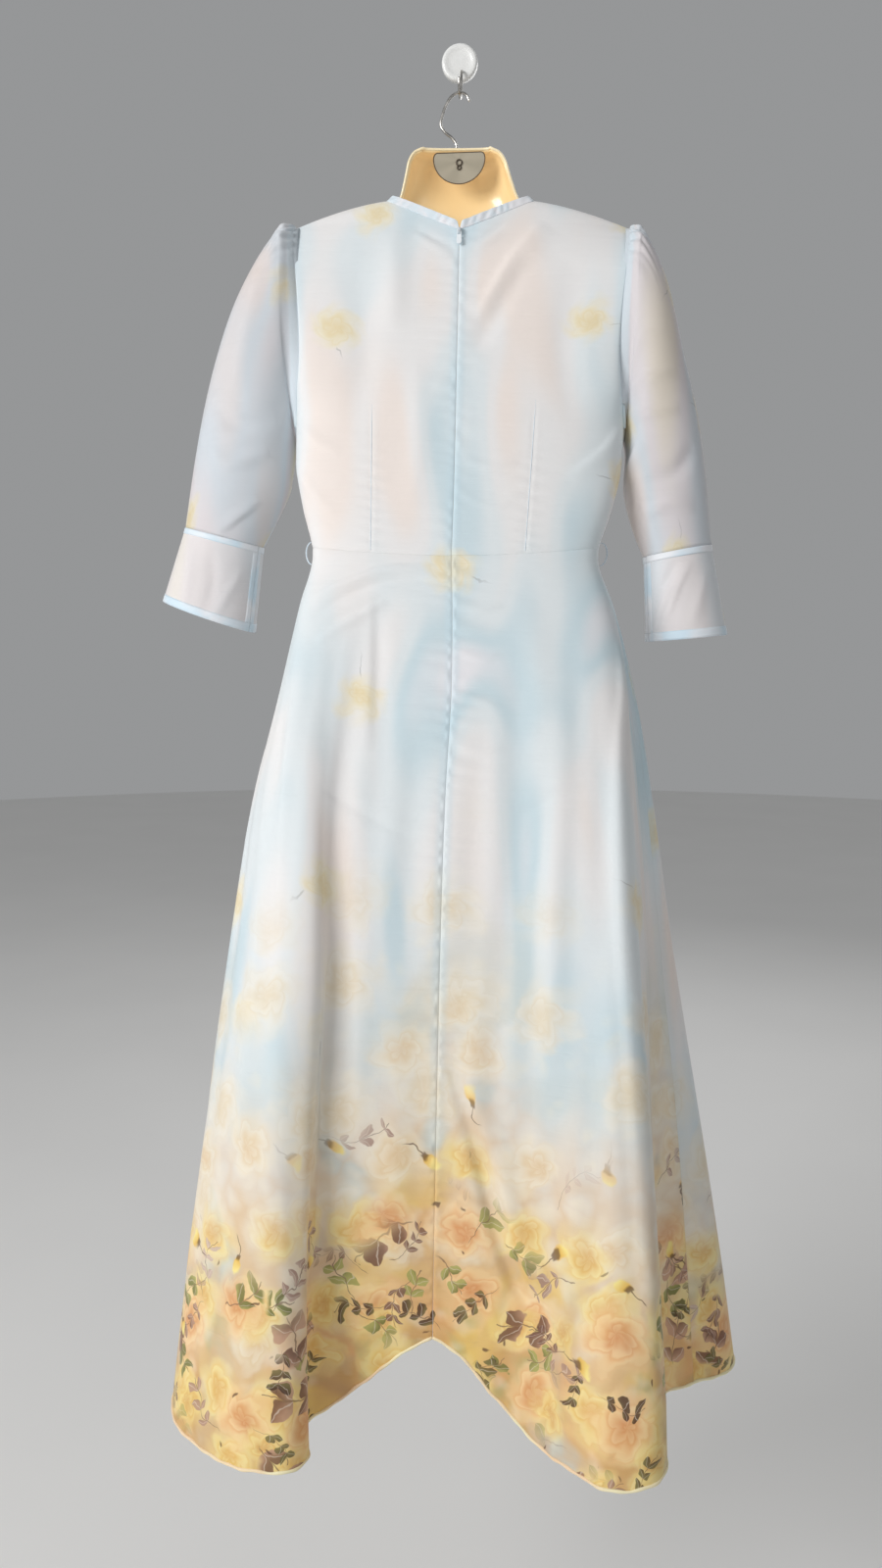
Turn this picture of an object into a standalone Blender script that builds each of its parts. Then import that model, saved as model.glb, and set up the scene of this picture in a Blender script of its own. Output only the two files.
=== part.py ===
"""A long flared dress, zipped up the back, hanging on a hollow half-torso form from a round wall hook.

Metres, +Z up. The wall is the plane y = 0 and everything lies at y < 0. The origin is the middle of the
wall disc's back face. The dress's back faces -Y, so +X is the wearer's right-hand side seen from behind.
"""

import bmesh
import bpy
import numpy as np
from mathutils import Matrix

COLLECTION = "maxi_dress"

CLOTH = 0.0012
CUFF_CLOTH = 0.0018
BINDING_CLOTH = 0.0024
FORM_WALL = 0.0028
TOUCH = 0.0003
EDGE = 0.00035
ZIP_GAP = 0.0006
SHOULDER_EDGE = 0.0005
BINDING_EDGE = 0.0011
STAND = CLOTH / 2 + TOUCH
CURVE_STEPS = 600

# The body ring, level by level: where its middle lies, half its width, and how far its back, side and
# front stand from the wall. From the waist down it is what the skirt hangs from.
BODY_COLUMNS = ("z", "middle_x", "half_width", "back_y", "side_y", "front_y")
BODY_ROWS = (
    (-0.165, 0.0040, 0.1945, -0.0640, -0.0500, -0.0380),
    (-0.205, 0.0050, 0.1930, -0.0725, -0.0510, -0.0320),
    (-0.235, 0.0050, 0.1870, -0.0800, -0.0530, -0.0240),
    (-0.280, 0.0050, 0.1825, -0.0910, -0.0560, -0.0180),
    (-0.350, 0.0050, 0.1820, -0.1095, -0.0640, -0.0180),
    (-0.400, 0.0050, 0.1870, -0.1225, -0.0700, -0.0190),
    (-0.445, 0.0050, 0.1905, -0.1340, -0.0760, -0.0240),
    (-0.490, 0.0048, 0.1875, -0.1455, -0.0890, -0.0400),
    (-0.530, 0.0045, 0.1782, -0.1560, -0.1040, -0.0580),
    (-0.586, 0.0040, 0.1630, -0.1710, -0.1240, -0.0750),
    (-0.640, 0.0062, 0.1745, -0.1850, -0.1330, -0.0850),
    (-0.740, 0.0090, 0.1890, -0.2120, -0.1500, -0.1020),
    (-0.840, 0.0066, 0.1992, -0.2400, -0.1640, -0.1120),
    (-1.030, 0.0045, 0.2085, -0.2620, -0.1760, -0.1080),
    (-1.230, 0.0038, 0.2215, -0.2790, -0.1840, -0.1000),
    (-1.520, 0.0020, 0.2370, -0.2950, -0.1900, -0.0900),
)
BACK_SQUARENESS = 3.6
FRONT_SQUARENESS = 2.5
RING_DEPTH_SHARE = 0.28

# The bust of a general figure: two soft rounds on the front, toward the wall
BUST_OUT = 0.078
BUST_Z = -0.420
BUST_SPREAD = 0.055
BUST_HEIGHT = 0.011

WAIST_Z = -0.5860
WAIST_SIDE_RISE = 0.0100
WAIST_HALF = 0.163
UNDERARM_Z = -0.445
SHOULDER_Z = -0.2023
NECK_SHOULDER_Z = -0.1710
NECK_SHOULDER_OUT = 0.0755
SHOULDER_OUT = 0.1945
SHOULDER_SEAM_Y = -0.0510
SHOULDER_ROLL = 0.060
SHOULDER_LINE_POWER = 1.5
SHOULDER_SLANT_COLUMNS = ("z", "slant")
SHOULDER_SLANT_ROWS = ((-0.10, 0.030), (-0.22, 0.028), (-0.45, 0.016), (-0.60, 0.008), (-0.84, 0.0), (-1.60, 0.0))

BINDING_HEIGHT = 0.0095
BINDING_LEAN_OUT = 0.8
BINDING_LEAN_DROP = 0.4
# How far each end of the binding is cut back at its lower edge, middle and upper edge
BINDING_NOTCH = (0.0, 0.0008, 0.0024)
NECK_EDGE_OUT = 0.0865
BACK_NECK_Z = -0.2095
BACK_NECK_POWER = 1.1
FRONT_NECK_Z = -0.2620
ARMHOLE_HALF_DEPTH = 0.036

# Shares of a bodice panel's neck edge and the number of columns beyond it
BACK_NECK_SHARES = np.linspace(0, 1, 5)
BACK_SHOULDER_COLUMNS = 8
FRONT_NECK_SHARES = np.sin(np.linspace(0, np.pi / 2, 7))
FRONT_SHOULDER_COLUMNS = 7
# Rows of the bodice from the waist (0) to the top edge (1), closer where the cloth rolls over the shoulder
ROLL_SHARE = SHOULDER_ROLL / (SHOULDER_Z - WAIST_Z)
BODICE_HEIGHTS = np.concatenate(
    [np.linspace(0, 1 - ROLL_SHARE, 9)[:-1], 1 - ROLL_SHARE * (1 - np.sin(np.linspace(0, np.pi / 2, 6)))]
)

# Each sleeve, section by section from its head to its cuff seam: the outer and inner edge, measured out
# from the middle of the dress, the middle's distance from the wall, and half its depth
SLEEVE_COLUMNS = ("down", "outer", "outer_z", "inner", "inner_z", "mid_y", "half_depth")
SLEEVES = {
    "left": (
        (0.00, 0.1990, -0.1970, 0.1921, -0.4450, -0.0620, 0.0365),
        (0.09, 0.2130, -0.2015, 0.1965, -0.4560, -0.0620, 0.0440),
        (0.20, 0.2355, -0.2310, 0.1985, -0.4680, -0.0630, 0.0480),
        (0.36, 0.2630, -0.2790, 0.2010, -0.4830, -0.0650, 0.0500),
        (0.56, 0.2900, -0.3530, 0.2045, -0.5050, -0.0680, 0.0480),
        (0.78, 0.3115, -0.4400, 0.2180, -0.5350, -0.0710, 0.0440),
        (1.00, 0.3300, -0.5455, 0.2366, -0.5697, -0.0740, 0.0390),
    ),
    "right": (
        (0.00, 0.2000, -0.2100, 0.1921, -0.4470, -0.0620, 0.0365),
        (0.09, 0.2105, -0.2145, 0.1955, -0.4580, -0.0620, 0.0440),
        (0.20, 0.2270, -0.2400, 0.1965, -0.4720, -0.0630, 0.0480),
        (0.36, 0.2440, -0.2860, 0.1950, -0.4900, -0.0650, 0.0500),
        (0.56, 0.2620, -0.3600, 0.1955, -0.5120, -0.0680, 0.0480),
        (0.78, 0.2830, -0.4500, 0.2045, -0.5480, -0.0710, 0.0440),
        (1.00, 0.2970, -0.5700, 0.2190, -0.5839, -0.0740, 0.0390),
    ),
}
HEAD_PLEATS = 4
HEAD_PLEAT_WIDTH = np.radians(30.0)
HEAD_PLEAT_DEPTH = 0.0034
HEAD_PLEAT_REACH = 0.16
HEAD_PLEAT_LEAN = 0.6
SLEEVE_DOWNS = np.array([0.0, 0.035, 0.09, 0.16, 0.27, 0.4, 0.55, 0.7, 0.85, 1.0])
SLEEVE_COLUMNS_ROUND = 36

# Each cuff's lower edge, as the sleeves' sections are given
CUFF_COLUMNS = ("outer", "outer_z", "inner", "inner_z", "mid_y", "half_depth")
CUFFS = {
    "left": (0.3590, -0.6330, 0.2485, -0.6716, -0.0770, 0.0470),
    "right": (0.3175, -0.6741, 0.2235, -0.6823, -0.0770, 0.0470),
}
CUFF_SLIT_ANGLE = np.radians(160.0)
CUFF_SLIT_GAP = np.radians(3.5)
CUFF_FLARE_POWER = 1.25
CUFF_FLARE_SHARE = 0.45
CUFF_COLUMNS_ROUND = 30
CUFF_ROWS = 4

# The hem seen from above, in order round each panel: a row for each fold's crest, flank and trough
HEM_COLUMNS = ("x", "y", "z")
HEM_RIGHT_BACK = (
    (-0.003, -0.335, -1.417),
    (0.028, -0.343, -1.431),
    (0.060, -0.352, -1.464),
    (0.106, -0.374, -1.500),
    (0.145, -0.413, -1.503),
    (0.190, -0.437, -1.503),
    (0.226, -0.427, -1.499),
    (0.239, -0.404, -1.498),
    (0.232, -0.368, -1.498),
    (0.224, -0.332, -1.499),
    (0.236, -0.296, -1.500),
    (0.282, -0.264, -1.500),
)
HEM_LEFT_BACK = (
    (-0.003, -0.335, -1.417),
    (-0.034, -0.340, -1.432),
    (-0.066, -0.344, -1.457),
    (-0.104, -0.350, -1.486),
    (-0.133, -0.358, -1.503),
    (-0.133, -0.384, -1.505),
    (-0.122, -0.409, -1.506),
    (-0.140, -0.433, -1.506),
    (-0.182, -0.432, -1.508),
    (-0.238, -0.400, -1.512),
    (-0.283, -0.355, -1.508),
    (-0.291, -0.312, -1.507),
    (-0.284, -0.262, -1.503),
)
HEM_FRONT = (
    (0.282, -0.264, -1.500),
    (0.318, -0.244, -1.500),
    (0.334, -0.212, -1.501),
    (0.316, -0.168, -1.498),
    (0.262, -0.124, -1.490),
    (0.205, -0.078, -1.480),
    (0.150, -0.040, -1.472),
    (0.100, -0.062, -1.466),
    (0.052, -0.092, -1.462),
    (0.004, -0.060, -1.460),
    (-0.044, -0.032, -1.462),
    (-0.096, -0.060, -1.466),
    (-0.146, -0.094, -1.472),
    (-0.196, -0.074, -1.480),
    (-0.244, -0.070, -1.490),
    (-0.282, -0.112, -1.498),
    (-0.297, -0.172, -1.502),
    (-0.284, -0.262, -1.503),
)
FOLD_GROWTH = 1.3
SIDE_FLARE = 1.8
# Rows of the skirt from the waist (0) to the hem (1)
SKIRT_FALLS = np.concatenate([np.linspace(0, 0.36, 6), np.linspace(0.44, 1.0, 8)])
SKIRT_BACK_COLUMNS = 25
SKIRT_FRONT_COLUMNS = 35

# The half-torso form above the armpits: its rim's place and height, and its front's
FORM_COLUMNS = ("rim_out", "rim_z", "rim_y", "front_z", "front_y")
FORM_SHOULDER_ROWS = (
    (0.1830, -0.2155, -0.0540, -0.2460, -0.0320),
    (0.1700, -0.2000, -0.0520, -0.2370, -0.0345),
    (0.1450, -0.1882, -0.0500, -0.2290, -0.0370),
    (0.1120, -0.1800, -0.0485, -0.2200, -0.0370),
    (0.0895, -0.1812, -0.0480, -0.2140, -0.0345),
    (0.0747, -0.1775, -0.0480, -0.2040, -0.0300),
    (0.0680, -0.1660, -0.0485, -0.1870, -0.0240),
    (0.0630, -0.1520, -0.0510, -0.1640, -0.0200),
    (0.0592, -0.1400, -0.0540, -0.1460, -0.0180),
    (0.0552, -0.1270, -0.0550, -0.1290, -0.0175),
    (0.0490, -0.1185, -0.0550, -0.1190, -0.0185),
    (0.0410, -0.1148, -0.0550, -0.1148, -0.0230),
    (0.0390, -0.1142, -0.0550, -0.1142, -0.0505),
)
FORM_BOTTOM_Z = -0.828
FORM_ARMPIT_Z = -0.250
FORM_INSET = 0.0065
FORM_RIM_STEP = 0.031
FORM_SQUARENESS = 2.4
FORM_LOW_ROWS = 11
FORM_COLUMNS_ACROSS = 23

HOOK_X = 0.0030
HOOK_Y = -0.0470
HOOK_WIRE = 0.0033
HOOK_APEX_Z = -0.0500
# The wire hook's middle line, drawn in its own plane, from the form's top to its free tip
HOOK_LINE = (
    (-0.0006, -0.1137),
    (-0.0010, -0.1065),
    (-0.0058, -0.0998),
    (-0.0142, -0.0930),
    (-0.0188, -0.0855),
    (-0.0172, -0.0748),
    (-0.0130, -0.0640),
    (-0.0065, -0.0545),
    (HOOK_X, HOOK_APEX_Z),
    (0.0110, -0.0535),
    (0.0146, -0.0610),
)
DISC_RADIUS = 0.0212
DISC_DEPTH = 0.0105
DISC_EDGE = 0.0030
ARM_WIRE = 0.0030
# The wall hook's arm, seen from the side, from the disc's face to its upturned tip
ARM_LINE = (
    (-0.0115, -0.0120),
    (-0.0150, -0.0130),
    (-0.0190, -0.0220),
    (-0.0240, -0.0400),
    (-0.0330, -0.0505),
    (HOOK_Y, HOOK_APEX_Z - HOOK_WIRE / 2 - 2 * TOUCH - ARM_WIRE / 2),
    (-0.0560, -0.0480),
    (-0.0590, -0.0380),
)

PLATE_RADIUS = 0.0300
PLATE_TOP_HALF = 0.0285
PLATE_SHOULDER = 0.006
PLATE_DROP = 0.0345
PLATE_STEPS = 17
PLATE_THICKNESS = 0.0020
PLATE_TOP_Z = -0.1184
PLATE_X = 0.0030
PLATE_Y = -0.0525

LOOP_WIRE = 0.0014
LOOP_HEIGHT = 0.026
LOOP_OUT = 0.0072
LOOP_SHARE_ABOVE_WAIST = 0.3

ZIP_Z = -0.2125
ZIP_SLOPE_ABOVE = 0.004
ZIP_SLOPE_BELOW = 0.016
SLIDER_WIDTH = 0.0030
# The slider's side view: a foot on the zip, and a bridge over the hole that the tab's eye turns in. Its
# first measure stands off the cloth and its second runs up the zip.
SLIDER_SIDE_VIEW = (
    (0.0, 0.0045),
    (0.0, -0.0045),
    (0.0010, -0.0045),
    (0.0032, -0.0034),
    (0.0048, -0.0016),
    (0.0053, 0.0004),
    (0.0047, 0.0022),
    (0.0028, 0.0036),
    (0.0010, 0.0045),
)
SLIDER_HOLE = (
    (0.0017, -0.0022),
    (0.0017, 0.0018),
    (0.0031, 0.0020),
    (0.0040, 0.0010),
    (0.0043, -0.0004),
    (0.0036, -0.0018),
)
TAB_WIDTH = 0.0056
TAB_TIP = 0.0026
TAB_LENGTH = 0.0175
TAB_THICKNESS = 0.0010
TAB_BAR = 0.0004
TAB_EYE_HALF = 0.0019
TAB_EYE_END = -0.0056
# One side of the tab below its bar: out from its middle, and along from its pivot
TAB_SIDE = ((TAB_WIDTH / 2, -0.0060), (0.0015, -0.0076), (0.0024, -0.0125))
TAB_TIP_ANGLES = np.linspace(1.5, -1.5, 9)
PIVOT_STAND = 0.0028


def table(columns, rows):
    """A dictionary of arrays, one for each named column."""
    return dict(zip(columns, np.array(rows, float).T))


def smooth(at, places, values):
    """A smooth curve through (places, values), read at the given places: cubic pieces whose slopes are
    the mean of the straight slopes on either side."""
    steps = np.diff(places)
    slopes = np.diff(values, axis=0) / (steps if values.ndim == 1 else steps[:, None])
    tangents = np.concatenate([slopes[:1], (slopes[1:] + slopes[:-1]) / 2, slopes[-1:]])
    at = np.clip(at, places[0], places[-1])
    piece = np.clip(np.searchsorted(places, at, side="right") - 1, 0, len(steps) - 1)
    step = steps[piece]
    t = (at - places[piece]) / step
    if values.ndim > 1:
        t, step = t[..., None], step[..., None]
    return (
        (1 + 2 * t) * (1 - t) ** 2 * values[piece]
        + t**2 * (3 - 2 * t) * values[piece + 1]
        + t * (1 - t) ** 2 * step * tangents[piece]
        - t**2 * (1 - t) * step * tangents[piece + 1]
    )


BODY = table(BODY_COLUMNS, BODY_ROWS[::-1])
SLANT = table(SHOULDER_SLANT_COLUMNS, SHOULDER_SLANT_ROWS[::-1])


def body(name, z):
    """One measure of the body ring at a height."""
    return smooth(z, BODY["z"], BODY[name])


def quarter(fraction, squareness):
    """A quarter of a rounded oblong, from the middle of its long side (0) to its end (1), by the length
    run: how far across and how far back, each from 0 to 1."""
    angle = np.linspace(0, np.pi / 2, CURVE_STEPS)
    across = np.sin(angle) ** (2 / squareness)
    deep = 1 - np.cos(angle) ** (2 / squareness)
    run = np.concatenate([[0], np.cumsum(np.hypot(np.diff(across), RING_DEPTH_SHARE * np.diff(deep)))])
    place = np.asarray(fraction) * run[-1]
    return np.interp(place, run, across), np.interp(place, run, deep)


def shoulder_line(out):
    """Height of the shoulder seam at a distance out from the middle."""
    along = np.clip((out - NECK_SHOULDER_OUT) / (SHOULDER_OUT - NECK_SHOULDER_OUT), 0, None)
    return NECK_SHOULDER_Z + (SHOULDER_Z - NECK_SHOULDER_Z) * along**SHOULDER_LINE_POWER


def top_edge(out, is_front):
    """Height of a bodice panel's top edge: the neckline, then the shoulder seam."""
    share = np.clip(out / NECK_EDGE_OUT, 0, 1)
    corner = shoulder_line(NECK_EDGE_OUT)
    if is_front:
        neck = corner - (corner - FRONT_NECK_Z) * np.sqrt(1 - share**2)
    else:
        neck = BACK_NECK_Z + (corner - BACK_NECK_Z) * share**BACK_NECK_POWER
    return np.where(out < NECK_EDGE_OUT, neck, shoulder_line(out))


def waist_line(out):
    """Height of the waist seam, which rises a little to the sides."""
    return WAIST_Z + WAIST_SIDE_RISE * (out / WAIST_HALF) ** 2


def bust(out, z):
    """How far the front rounds out toward the wall."""
    fall = ((np.abs(out) - BUST_OUT) ** 2 + (z - BUST_Z) ** 2) / BUST_SPREAD**2
    return BUST_HEIGHT * np.exp(-fall)


def slanted(points):
    """The wearer's right shoulder hangs a little lower: each height falls with its distance across."""
    across = points[..., 0] - body("middle_x", points[..., 2])
    lower = across * smooth(points[..., 2], SLANT["z"], SLANT["slant"])
    return points - lower[..., None] * np.array([0, 0, 1.0])


def armhole_rise(z):
    """How far up the armhole a height is, from the underarm (0) to the shoulder (1)."""
    return np.clip((z - UNDERARM_Z) / (SHOULDER_Z - UNDERARM_Z), 0, 1)


def armhole_gap(z):
    """Half the armhole's depth at a height: an ellipse from the underarm to the shoulder."""
    rise = armhole_rise(z)
    return ARMHOLE_HALF_DEPTH * np.sqrt(4 * rise * (1 - rise))


def side_out(z):
    """How far out the bodice's side edge is: the body's own width, then out to the shoulder's end."""
    width = body("half_width", z)
    return width + (SHOULDER_OUT - width) * armhole_rise(z) ** 2


def bodice_points(side, is_front, fractions, heights):
    """A bodice panel's middle surface: rows run up from the waist, columns out from the middle."""
    across, deep = quarter(fractions, FRONT_SQUARENESS if is_front else BACK_SQUARENESS)
    out_top = across * SHOULDER_OUT
    base = waist_line(across * body("half_width", WAIST_Z)) + EDGE
    z = base + (top_edge(out_top, is_front) - base) * heights[:, None]
    out = across * side_out(z)
    middle_y = body("front_y" if is_front else "back_y", z)
    edge_y = body("side_y", z) + (armhole_gap(z) + EDGE) * (1 if is_front else -1)
    y = middle_y + (edge_y - middle_y) * deep
    if is_front:
        y = y + bust(out, z) * (1 - deep)
    near = np.clip(1 - (shoulder_line(out) - z) / SHOULDER_ROLL, 0, 1)
    over = 1 - np.sqrt(1 - near**2)
    seam_y = SHOULDER_SEAM_Y + (SHOULDER_EDGE if is_front else -SHOULDER_EDGE)
    y = y + (seam_y - y) * over
    x = body("middle_x", z) + side * out
    return slanted(np.stack([x, y, z], axis=-1))


def sleeve_points(name, side, angles, downs):
    """A sleeve's middle surface: rings run down from the armhole, columns round from the outer edge over
    the back. The first ring follows the armhole."""
    row = table(SLEEVE_COLUMNS, SLEEVES[name])
    read = {key: smooth(downs, row["down"], row[key])[:, None] for key in SLEEVE_COLUMNS[1:]}
    turn, lift = np.cos(angles)[None, :], np.sin(angles)[None, :]
    out = (read["outer"] + read["inner"]) / 2 + (read["outer"] - read["inner"]) / 2 * turn
    z = (read["outer_z"] + read["inner_z"]) / 2 + (read["outer_z"] - read["inner_z"]) / 2 * turn
    y = read["mid_y"] - read["half_depth"] * lift
    reach = np.clip(1 - downs / HEAD_PLEAT_REACH, 0, 1)[:, None] * (downs > 0)[:, None]
    half_span = HEAD_PLEATS * HEAD_PLEAT_WIDTH / 2
    wrapped = (angles + np.pi) % (2 * np.pi) - np.pi
    window = np.clip(1 - (wrapped / half_span) ** 2, 0, 1) ** 0.5
    wave = window * HEAD_PLEAT_DEPTH * np.cos(2 * np.pi * wrapped / HEAD_PLEAT_WIDTH) * reach
    out = out + wave * HEAD_PLEAT_LEAN * turn
    z = z + wave * turn
    y = y - wave * lift
    first_z = (SHOULDER_Z + UNDERARM_Z) / 2 + (SHOULDER_Z - UNDERARM_Z) / 2 * turn[0]
    first_out = side_out(first_z) + 2 * STAND
    first_y = body("side_y", first_z) - ARMHOLE_HALF_DEPTH * lift[0]
    first = slanted(np.stack([body("middle_x", first_z) + side * first_out, first_y, first_z], axis=-1))
    points = np.stack([body("middle_x", WAIST_Z) + side * out, y, z], axis=-1)
    points[0] = first
    return points


def cuff_points(name, side, angles, heights):
    """A cuff's middle surface, from just under the sleeve's last ring to its own flared lower edge."""
    top = sleeve_points(name, side, angles, np.array([0.97, 1.0]))[1]
    row = dict(zip(CUFF_COLUMNS, CUFFS[name]))
    turn, lift = np.cos(angles), np.sin(angles)
    out = (row["outer"] + row["inner"]) / 2 + (row["outer"] - row["inner"]) / 2 * turn
    z = (row["outer_z"] + row["inner_z"]) / 2 + (row["outer_z"] - row["inner_z"]) / 2 * turn
    y = row["mid_y"] - row["half_depth"] * lift
    bottom = np.stack([body("middle_x", WAIST_Z) + side * out, y, z], axis=-1)
    top = top - np.array([0, 0, 2 * EDGE])
    share = heights[:, None, None]
    flared = CUFF_FLARE_SHARE * share**CUFF_FLARE_POWER + (1 - CUFF_FLARE_SHARE) * share
    return top + (bottom - top) * flared


def hem_points(rows, fractions):
    """Points of the hem's plan, spaced by the length run along it."""
    hem = np.array(rows)
    run = np.concatenate([[0], np.cumsum(np.linalg.norm(np.diff(hem, axis=0), axis=1))])
    return smooth(np.asarray(fractions) * run[-1], run, hem)


def skirt_back_points(side, rows, fractions, falls):
    """A back skirt panel's middle surface, from the waist (fall 0) to the hem (fall 1). The folds open
    from the waist as flat cones do: each line runs from the body ring to its place on the hem."""
    hem = hem_points(rows, fractions)
    across, deep = quarter(1 - (1 - fractions) ** SIDE_FLARE, BACK_SQUARENESS)
    start = waist_line(across * body("half_width", WAIST_Z)) - EDGE
    z = start + (hem[:, 2] - start) * falls[:, None]
    x = body("middle_x", z) + side * body("half_width", z) * across
    side_y = body("side_y", z) - EDGE
    y = body("back_y", z) + (side_y - body("back_y", z)) * deep
    grown = falls[:, None] ** FOLD_GROWTH
    x = x + (hem[:, 0] - x) * grown
    y = y + (hem[:, 1] - y) * grown
    return slanted(np.stack([x, y, z], axis=-1))


def skirt_front_points(fractions, falls):
    """The front skirt panel's middle surface, from the wearer's right side seam to the left one."""
    hem = hem_points(HEM_FRONT, fractions)
    toward = 1 - 2 * fractions
    across, deep = quarter(1 - (1 - np.abs(toward)) ** SIDE_FLARE, FRONT_SQUARENESS)
    start = waist_line(across * body("half_width", WAIST_Z)) - EDGE
    z = start + (hem[:, 2] - start) * falls[:, None]
    x = body("middle_x", z) + np.sign(toward) * body("half_width", z) * across
    side_y = body("side_y", z) + EDGE
    y = body("front_y", z) + (side_y - body("front_y", z)) * deep
    grown = falls[:, None] ** FOLD_GROWTH
    x = x + (hem[:, 0] - x) * grown
    y = y + (hem[:, 1] + 2 * EDGE - y) * grown
    return slanted(np.stack([x, y, z], axis=-1))


def material(name, colour, roughness, metallic=0.0, alpha=1.0):
    """A new material of one colour."""
    made = bpy.data.materials.new(name)
    made.use_nodes = True
    shader = made.node_tree.nodes["Principled BSDF"]
    shader.inputs["Base Color"].default_value = (*colour, 1.0)
    shader.inputs["Roughness"].default_value = roughness
    shader.inputs["Metallic"].default_value = metallic
    shader.inputs["Alpha"].default_value = alpha
    return made


def add_object(name, data, finish):
    """A new object of the dress's collection, with its own material."""
    made = bpy.data.objects.new(name, data)
    bpy.data.collections[COLLECTION].objects.link(made)
    made.data.materials.append(finish)
    return made


def sheet(name, points, thickness, finish, closed_round=False, offset=0.0):
    """A grid of points (rows, columns, 3) as an open surface with a Solidify wall."""
    rows, columns = points.shape[:2]
    index = np.arange(rows * columns).reshape(rows, columns)
    if closed_round:
        index = np.concatenate([index, index[:, :1]], axis=1)
    faces = np.stack([index[:-1, :-1], index[:-1, 1:], index[1:, 1:], index[1:, :-1]], axis=-1)
    mesh = bpy.data.meshes.new(name)
    mesh.from_pydata(points.reshape(-1, 3).tolist(), [], faces.reshape(-1, 4).tolist())
    mesh.shade_smooth()
    made = add_object(name, mesh, finish)
    wall = made.modifiers.new("wall", "SOLIDIFY")
    wall.thickness = thickness
    wall.offset = offset
    wall.use_rim = True
    return made


def wire(name, points, diameter, finish, spread=3):
    """A round wire along a smooth line through the points, with filled ends."""
    points = np.array(points, float)
    run = np.concatenate([[0], np.cumsum(np.linalg.norm(np.diff(points, axis=0), axis=1))])
    line = smooth(np.linspace(0, run[-1], spread * len(points)), run, points)
    curve = bpy.data.curves.new(name, "CURVE")
    curve.dimensions = "3D"
    curve.bevel_depth = diameter / 2
    curve.bevel_resolution = 2
    curve.use_fill_caps = True
    spline = curve.splines.new("POLY")
    spline.points.add(len(line) - 1)
    spline.points.foreach_set("co", np.concatenate([line, np.ones((len(line), 1))], axis=1).ravel())
    return add_object(name, curve, finish)


def flat_outline(name, outlines, thickness, finish):
    """A flat shape in its own XY plane: the first outline is its edge, any others are holes."""
    curve = bpy.data.curves.new(name, "CURVE")
    curve.dimensions = "2D"
    curve.fill_mode = "BOTH"
    curve.extrude = thickness / 2
    for outline in outlines:
        spline = curve.splines.new("POLY")
        spline.points.add(len(outline) - 1)
        flat = np.array([(x, y, 0.0, 1.0) for x, y in outline])
        spline.points.foreach_set("co", flat.ravel())
        spline.use_cyclic_u = True
    return add_object(name, curve, finish)


def bodice_columns(squareness, neck_shares, shoulder_columns):
    """Column places for a bodice panel, with one exactly at the neck's corner."""
    fractions = np.linspace(0, 1, CURVE_STEPS)
    across, _ = quarter(fractions, squareness)
    corner = float(np.interp(NECK_EDGE_OUT / SHOULDER_OUT, across, fractions))
    return np.concatenate([corner * neck_shares, np.linspace(corner, 1, shoulder_columns)[1:]])


def make_bodice(finish):
    """Two backs that meet at the zip, and a front."""
    columns = bodice_columns(BACK_SQUARENESS, BACK_NECK_SHARES, BACK_SHOULDER_COLUMNS)
    edges = {}
    for name, side in (("left", -1), ("right", 1)):
        points = bodice_points(side, False, columns, BODICE_HEIGHTS)
        points[:, 0, 0] = points[:, 0, 0] + side * ZIP_GAP / 2
        sheet(f"bodice_back_{name}", points, CLOTH, finish)
        edges[name] = points[-1, : len(BACK_NECK_SHARES)]
    columns = bodice_columns(FRONT_SQUARENESS, FRONT_NECK_SHARES, FRONT_SHOULDER_COLUMNS)
    left = bodice_points(-1, True, columns[::-1], BODICE_HEIGHTS)
    right = bodice_points(1, True, columns[1:], BODICE_HEIGHTS)
    front = np.concatenate([left, right], axis=1)
    sheet("bodice_front", front, CLOTH, finish)
    middle = len(columns) - 1
    on_neck = len(FRONT_NECK_SHARES)
    edges["front"] = front[-1, middle - on_neck + 1 : middle + on_neck]
    return edges


def make_neck_binding(edges, finish):
    """A narrow band on the neck edges of the backs and the front, open at the zip."""
    loop = np.concatenate([edges["left"][:-1], edges["front"], edges["right"][-2::-1]])
    middle = body("middle_x", loop[:, 2])
    share = np.clip((loop[:, 0] - middle) / NECK_EDGE_OUT, -1, 1)
    up = np.stack([-BINDING_LEAN_OUT * share, 0 * share, 1 - BINDING_LEAN_DROP * np.abs(share)], axis=-1)
    up = up / np.linalg.norm(up, axis=1, keepdims=True)
    levels = np.array([0.0, 0.5, 1.0])[:, None, None] * BINDING_HEIGHT + BINDING_EDGE
    points = loop + up * levels
    points[:, 0, 0] = points[:, 0, 0] - np.array(BINDING_NOTCH)
    points[:, -1, 0] = points[:, -1, 0] + np.array(BINDING_NOTCH)
    sheet("neck_binding", points, BINDING_CLOTH, finish)


def make_skirt(finish):
    """Two flared backs that meet on the zip's line, and a front, folded from the waist to the hem."""
    for name, side, rows in (("left", -1, HEM_LEFT_BACK), ("right", 1, HEM_RIGHT_BACK)):
        points = skirt_back_points(side, rows, np.linspace(0, 1, SKIRT_BACK_COLUMNS), SKIRT_FALLS)
        points[:, 0, 0] = points[:, 0, 0] + side * ZIP_GAP / 2
        sheet(f"skirt_back_{name}", points, CLOTH, finish)
    front = skirt_front_points(np.linspace(0, 1, SKIRT_FRONT_COLUMNS), SKIRT_FALLS)
    sheet("skirt_front", front, CLOTH, finish)


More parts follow.
